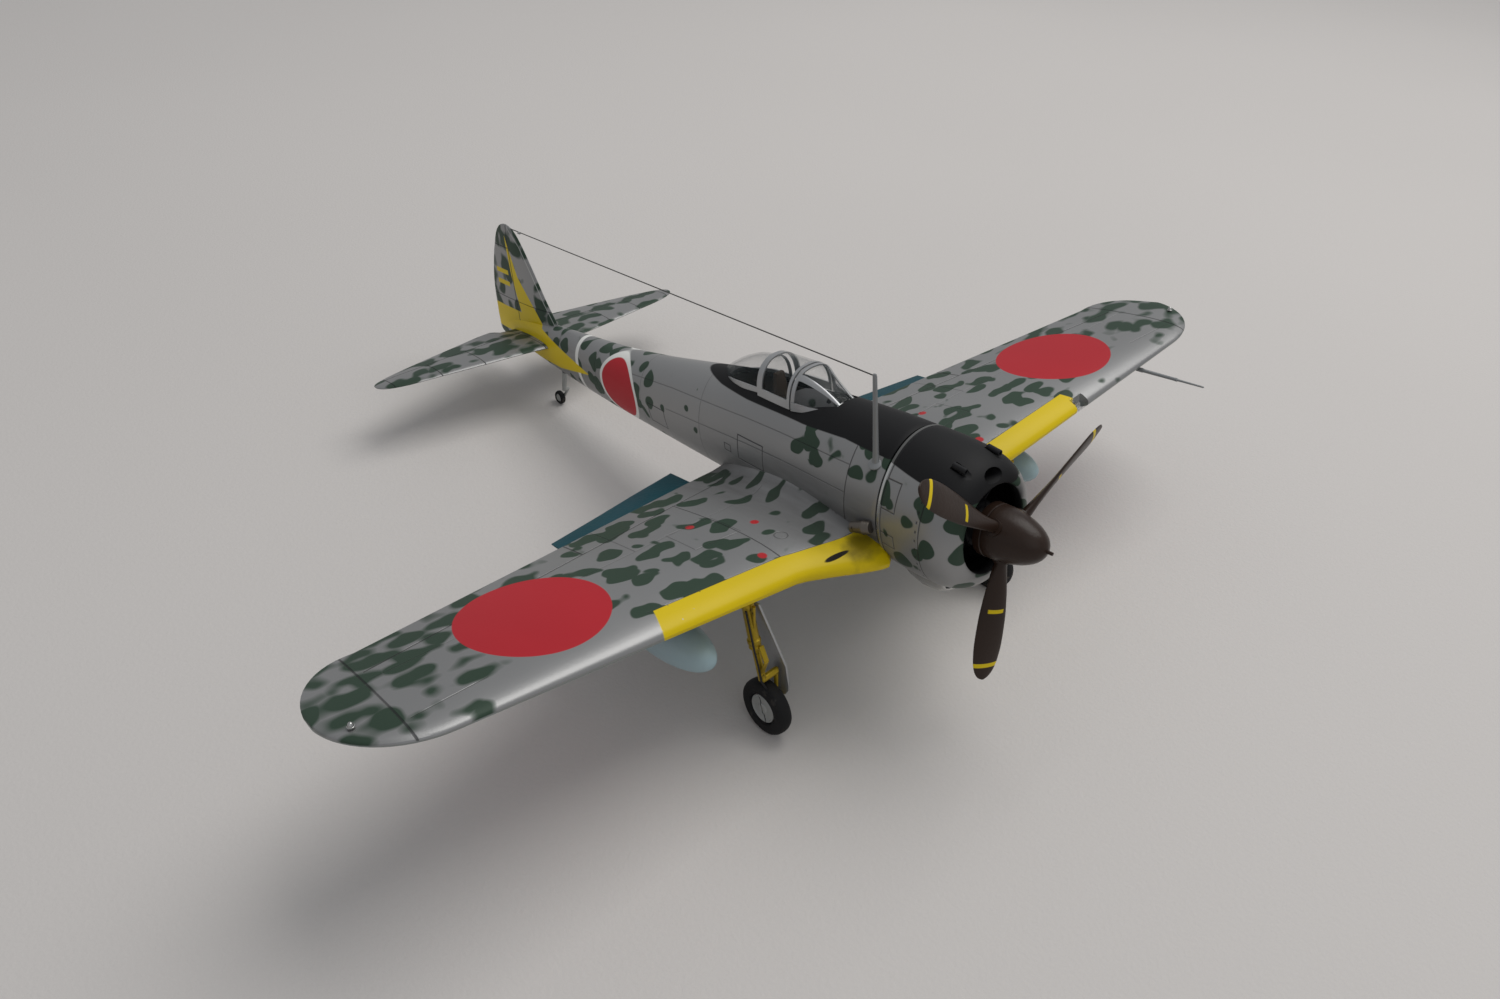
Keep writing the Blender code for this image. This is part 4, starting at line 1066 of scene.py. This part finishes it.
fullArch = [pi * i / 32 for i in range(33)]
sillAngles = [radians(a) for a in (0, 3, 6, 9)]
bothSills = (("Left", sillAngles), ("Right", farSide(sillAngles)))


def makeWindscreen():
    table, edge = windscreenTable, degrees(screenStyle["paneAngle"])
    panes = spaced(0, edge, 8) + spaced(edge, 180 - edge, 8)[1:] + spaced(180 - edge, 180, 8)[1:]
    panes = [radians(a) for a in panes]
    clearShell("windscreenShell", table, spaced(38.3, 48.6, 18), panes, "windscreen")
    paintedFrame("windscreenRearFrame", table, spaced(47.75, 48.6, 2), fullArch, 0.1)
    paintedFrame("windscreenFoot", table, spaced(38.25, 39.05, 2), panes, 0.12)
    post = [radians(edge + a) for a in (-9, -5, 0, 5)]
    for (label, sill), angles in zip(bothSills, (post, farSide(post))):
        paintedFrame("windscreenPost" + label, table, spaced(38.5, 47.9, 14), angles, 0.14)
        paintedFrame("windscreenSill" + label, table, spaced(38.6, 48.4, 12), sill, 0.1)


makeWindscreen()


def makeHood():
    table = windscreenTable
    clearShell("hoodShell", table, spaced(49, 59.2, 12), fullArch, "canopy_hood", "hood")
    frames = [("FrontFrame", spaced(49, 49.75, 2), fullArch), ("RearFrame", spaced(57.7, 59.2, 3), fullArch)]
    frames += [("Sill" + label, spaced(49.2, 59.1, 10), sill) for label, sill in bothSills]
    for part, stations, angles in frames:
        paintedFrame("hood" + part, table, stations, angles, 0.1, 0.32, "hood")


makeHood()


def makeRearCanopy():
    table = rearCanopyTable
    clearShell("rearCanopyShell", table, spaced(59.5, 74.7, 18), fullArch, "canopy_rear")
    paintedFrame("rearCanopyFrame", table, spaced(59.5, 60.3, 2), fullArch, 0.06)
    for label, sill in bothSills:
        paintedFrame("rearCanopySill" + label, table, spaced(59.7, 74.6, 16), sill, 0.08)


makeRearCanopy()


def makeCockpit():
    for name, node, bevel in (("cockpitFloor", "cockpit_floor", 0.1), ("seatBucket", "seat", 0.35),
                              ("headRest", "headrest", 0.35)):
        place(refinedCopy(name, node, bevel), cockpitBrown, [node])
    panel = refinedCopy("instrumentPanel", "instrument_panel", 0.1)
    place(panel, engineBlack, ["instrument_panel"])
    place(boxPiece("seatPad", (-2.35, 50.9, 0.5), (2.35, 56.4, 1.5), 0.4), cockpitBrown)
    for side, label in bothSides:
        x = side * 1.3
        belt = boxPiece("shoulderBelt" + label, (x - 0.45, 56.3, 1.5), (x + 0.45, 56.65, 8.3), 0.1)
        place(belt, beltCloth)
    dials = []
    for x, z, r in ((-3.2, 5.2, 0.95), (-1.0, 5.5, 1.05), (1.3, 5.5, 1.05), (3.4, 5.2, 0.9), (-2.1, 2.8, 0.8),
                    (0.2, 2.9, 0.8), (2.4, 2.8, 0.8)):
        rim = [(0, r), (0.15, r), (0.2, r * 0.86), (0.08, r * 0.8)]
        dials.append(lathed("dial", rim, 24, (x, 43.4, z), (0, 1, 0)))
    place(joined(dials), hubGrey)
    stick = rodPiece("controlStick", (0, 47.5, -3.1), (0, 48.1, 4.4), 0.4, 0.33, 14)
    knob = [(0, 0.4), (0.2, 0.55), (1.3, 0.6), (1.6, 0.45)]
    grip = lathed("stickGrip", knob, 16, (0, 48.1, 4.3), (0, 0.05, 1))
    place(joined([stick, grip]), engineBlack, ["control_stick"])
    sight = rodPiece("gunSightBody", (0, 43.0, 9.3), (0, 43.0, 12.6), 0.65, 0.55, 16)
    lens = lathed("sightLens", [(0, 0.7), (0.3, 0.8), (1.0, 0.8), (1.2, 0.6)], 20, (0, 42.8, 13.0), (0, 1, 0.2))
    place(joined([sight, lens]), engineBlack, ["gunsight"])


makeCockpit()
print("canopy and cockpit made")


# Aerial, pitot tube and lamps

aerialStyle = {"mast": (-9.0, 22.9),
               "sections": ((8.9, 2.0, 1.3), (10.2, 1.9, 1.2), (10.8, 1.5, 0.95), (13, 1.35, 0.85),
                            (20, 1.15, 0.72), (27.2, 1.0, 0.6), (27.7, 0.75, 0.4))}


def makeAerial():
    x, y = aerialStyle["mast"]
    rows = []
    for z, chord, thick in aerialStyle["sections"]:
        turns = [2 * pi * i / 16 for i in range(17)]
        rows.append([(x + thick / 2 * sin(a), y + chord / 2 * cos(a), z) for a in turns])
    mast = gridPiece("aerialMast", rows)
    foot = lathed("mastFoot", [(0, 1.5), (0.25, 1.5), (0.5, 1.1)], 28, (x, y, 9.9), (-0.55, 0, 0.83))
    place(joined([mast, foot]), mastGrey, ["antenna_mast"])
    wire = rodPiece("aerialWire", (x, y + 0.6, 27.35), (0.0, 162.6, 28.3), 0.13, 0.13, 8)
    place(wire, aerialThread, ["antenna_wire"])
    knob = lathed("wireInsulator", [(0, 0.16), (0.15, 0.3), (0.9, 0.3), (1.05, 0.16)], 12,
                  (-0.42, 156.6, 28.08), (-0.064, 1, 0.0055))
    place(knob, hubGrey)


makeAerial()


def makePitot():
    profile = [(-1.5, 0.5), (0, 0.55), (0.3, 0.44), (8.2, 0.38), (8.5, 0.42), (8.9, 0.42), (9.1, 0.27),
               (15.3, 0.21), (15.5, 0.14)]
    tube = lathed("pitotTube", profile, 20, (84.5, 24.0, wingPlane(84.5) - 2.2), (0, -1, 0))
    place(tube, mastGrey, ["pitot_tube"])


def makeWingtipLamps():
    bead = [(0, 0.62), (0.2, 0.62), (0.25, 0.5), (0.55, 0.45), (0.8, 0.28), (0.88, 0.1)]
    for side, label in bothSides:
        base = (side * 108.8, 32.0, wingPlane(108.8) + 1.25)
        lamp = lathed("wingtipLamp" + label, bead, 20, base, (0, 0, 1))
        place(lamp, brightMetal, ["wingtip_light_" + label.lower()])


makePitot()
makeWingtipLamps()


# Flaps and tanks

tankStyle = {"length": 36, "radius": 4.7,
             "shares": (0.004, 0.015, 0.04, 0.08, 0.13, 0.19, 0.26, 0.34, 0.43, 0.495, 0.5, 0.505, 0.58, 0.66,
                        0.74, 0.82, 0.89, 0.94, 0.975, 0.992)}


def makeUnderWing():
    s = tankStyle
    profile = [(s["length"] * u, s["radius"] * sin(pi * u**0.72)**0.62 * (0.985 if u == 0.5 else 1))
               for u in s["shares"]]
    for side, label in bothSides:
        suffix = "_" + label.lower()
        place(refinedCopy("flap" + label, "flap" + suffix, 0.08), flapTeal, ["flap" + suffix])
        centre = Vector((side * 48.0, 26.6, -16.5))
        tank = lathed("dropTank" + label, profile, 56, centre, (0, 1, 0))
        cap = centre + Vector((0, 11.5, 4.35))
        filler = lathed("filler", [(0, 0.9), (0.25, 0.9), (0.3, 0.75)], 20, cap, (0, 0, 1))
        place(joined([tank, filler]), tankBlue, ["drop_tank" + suffix], 50)
        pylon = refinedCopy("tankPylon" + label, "tank_pylon" + suffix, 0.12)
        place(pylon, tankBlue, ["tank_pylon" + suffix])


makeUnderWing()


# Undercarriage

wheelStyle = {"x": 34.6, "y": 28.5, "z": -35.2, "radius": 6.0, "width": 3.3}


def makeWheels():
    s = wheelStyle
    half = s["width"] / 2
    tread = mirrored([(-half * 0.75, 3.35), (-half * 0.95, 3.6), (-half, 4.4), (-half * 0.93, 5.2),
                      (-half * 0.74, 5.7), (-half * 0.42, 5.94), (-0.05, s["radius"])])
    tread += [(0.2, 3.2), (-0.2, 3.2), tread[0]]
    disc = [(-1.25, 0.9), (-1.28, 2.2), (-1.2, 3.0), (-1.1, 3.12), (1.15, 3.12), (1.3, 3.0), (1.34, 2.75),
            (1.22, 2.6), (1.2, 1.3), (1.34, 1.15), (1.42, 0.95), (1.42, 0.5), (1.35, 0.42)]
    for side, label in bothSides:
        body = "wheel_" + label.lower()
        centre = Vector((side * s["x"], s["y"], s["z"]))
        tyre = lathed("tyre" + label, tread, 64, centre, (side, 0, 0), True)
        place(tyre, tyreBlack, [body + "_tyre"], 45, body)
        hub = lathed("hub" + label, disc, 56, centre, (side, 0, 0))
        low, high = sorted((side * (s["x"] + 1.05), side * (s["x"] + 2)))
        slot = boxPiece("slotCutter", (low, s["y"] - 0.17, s["z"] - 2.9), (high, s["y"] + 0.17, s["z"] + 2.9))
        tilt = Matrix.Rotation(radians(-15), 4, "X")
        slot.data.transform(Matrix.Translation(centre) @ tilt @ Matrix.Translation(-centre))
        # painted shade: a black block just under the slot's floor darkens the slot
        shadow = copied(slot, "hubSlotShade" + label, Matrix.Translation((-side * 0.9, 0, 0)))
        cut(hub, slot)
        place(hub, hubGrey, [body + "_hub"], 35, body)
        place(shadow, engineBlack, (), 35, body)


makeWheels()


def makeLegs():
    s = wheelStyle
    fork = s["x"] - s["width"] / 2 - 0.8
    for side, label in bothSides:
        def at(x, y, z):
            return Vector((side * x, y, z))
        top, middle, bottom = at(37.8, 28.4, -8.2), at(36.8, 28.0, -19.5), at(35.9, 27.7, -27.5)
        length = (middle - top).length
        cylinder = [(0, 1.05), (0.6, 1.15), (1.0, 1.35), (1.6, 1.35), (2.0, 1.1), (length - 2.2, 1.1),
                    (length - 2.0, 1.32), (length - 1.2, 1.32), (length - 0.9, 1.15), (length - 0.2, 1.25),
                    (length, 1.1)]
        upper = lathed("oleo", cylinder, 28, top, middle - top)
        ram = rodPiece("ram", middle + (top - middle) * 0.05, bottom, 0.78, 0.78)
        elbow = rodPiece("elbow", bottom, at(fork, 27.9, -27.5), 0.75)
        arm = rodPiece("arm", at(fork, 27.9, -27.0), at(fork, s["y"], s["z"]), 0.5, 0.42)
        axle = rodPiece("axle", at(fork - 0.4, s["y"], s["z"]), at(s["x"] + 1.15, s["y"], s["z"]), 0.58)
        cap = rodPiece("cap", at(fork - 0.75, s["y"], s["z"]), at(fork + 0.3, s["y"], s["z"]), 0.9)
        stay = rodPiece("stay", at(37.9, 26.2, -9.0), at(36.9, 27.9, -17.5), 0.36, 0.3, 12)
        links = []
        for yFrom, yTo, zFrom, zTo in ((26.7, 25.4, -18.8, -21.8), (25.4, 27.0, -21.8, -25.2)):
            run = Vector((0, yTo - yFrom, zTo - zFrom))
            link = boxPiece("link", (-0.55, -0.18, 0), (0.55, 0.18, run.length), 0.08)
            links.append(turnTo(link, at(36.5, yFrom, zFrom), run))
        leg = joined([upper, ram, elbow, arm, axle, cap, stay] + links)
        leg.name = "leg" + label
        place(leg, legYellow, ["gear_leg_" + label.lower()], 40)
        # the brake hose hangs beside the leg and bends in to the wheel
        route = [at(38.9, 27.3, -10), at(38.6, 27.0, -14), at(38.1, 26.8, -19), at(37.5, 26.7, -23),
                 at(36.9, 26.9, -27), at(35.2, 27.0, -30.5)]
        hose = [rodPiece("hose", a, b + (b - a) * 0.04, 0.2, 0.2, 10) for a, b in zip(route, route[1:])]
        place(joined(hose), hoseRubber)
        node = "gear_cover_" + label.lower()
        place(refinedCopy("legCover" + label, node, 0.06), frameSilver, [node])


makeLegs()


def makeTailWheel():
    place(refinedCopy("tailLeg", "tail_leg", 0.05), hubGrey, ["tail_leg"])
    centre = (0.0, 150.3, -17.0)
    tread = mirrored([(-0.5, 1.15), (-0.72, 1.3), (-0.72, 1.55), (-0.5, 1.8), (-0.05, 1.9)])
    tyre = lathed("tailTyre", tread + tread[:1], 40, centre, (1, 0, 0), True)
    place(tyre, tyreBlack, ["tail_wheel_tyre"], 45, "tail_wheel")
    disc = [(-0.58, 0.52), (-0.6, 0.95), (-0.5, 1.1), (0.5, 1.1), (0.6, 0.95), (0.52, 0.6), (0.58, 0.52)]
    hub = lathed("tailHub", disc, 36, centre, (1, 0, 0))
    place(hub, hubGrey, ["tail_wheel_hub"], 35, "tail_wheel")


makeTailWheel()
print("undercarriage made")


# Hidden CAD pieces that still show through the cowling's mouth
for node, material in (("firewall", engineBlack), ("propeller_shaft", brightMetal), ("shaft_bush", engineBlack)):
    mesh = frame["nodes"][node].data
    mesh.materials.clear()
    mesh.materials.append(material)


# Floor and light

floorStyle = {"color": "ccc8c5", "size": 6.0}
lightStyle = {"key": 5.8, "keySize": 0.75, "fill": 1.4, "world": 0.46}


def makeFloor():
    floor = drawn("paleFloor", bpy.ops.mesh.primitive_plane_add, size=floorStyle["size"],
                  location=(0, 0, cadLow.z - 0.00005))
    # pale cotton cloth drawn flat: no shine, slow tone changes and a fine weave
    material, tree, shader = newMaterial("paleCottonFloor")
    coordinates = addNode(tree, "TexCoord", {}, {})["Object"]
    coat = Coat(tree, floorStyle["color"], 0.0, 0.9)
    coat.shade(noiseField(tree, coordinates, 0.4, detail=2) * 0.12 + 0.94)
    coat.finish(shader, noiseField(tree, coordinates, 0.0009, detail=2), 0.0001)
    floor.data.materials.append(material)


makeFloor()


def areaLight(name, where, aim, size, power, color):
    data = bpy.data.lights.new(name, "AREA")
    data.size, data.energy, data.color = size, power, color
    lamp = bpy.data.objects.new(name, data)
    bpy.context.scene.collection.objects.link(lamp)
    lamp.location = where
    lamp.rotation_euler = (Vector(aim) - Vector(where)).to_track_quat("-Z", "Y").to_euler()


def makeLight():
    s = lightStyle
    areaLight("softKey", (0.45, -0.05, 0.95), (0, 0, 0.02), s["keySize"], s["key"], (1.0, 0.985, 0.96))
    areaLight("softFill", (-0.5, -1.0, 1.0), (0, 0, 0.02), 1.2, s["fill"], (0.94, 0.97, 1.0))
    world = bpy.data.worlds.new("studio")
    bpy.context.scene.world = world
    world.use_nodes = True
    ground = world.node_tree.nodes["Background"]
    ground.inputs[0].default_value = (0.83, 0.85, 0.88, 1)
    ground.inputs[1].default_value = s["world"]


makeLight()
print("floor and light made")
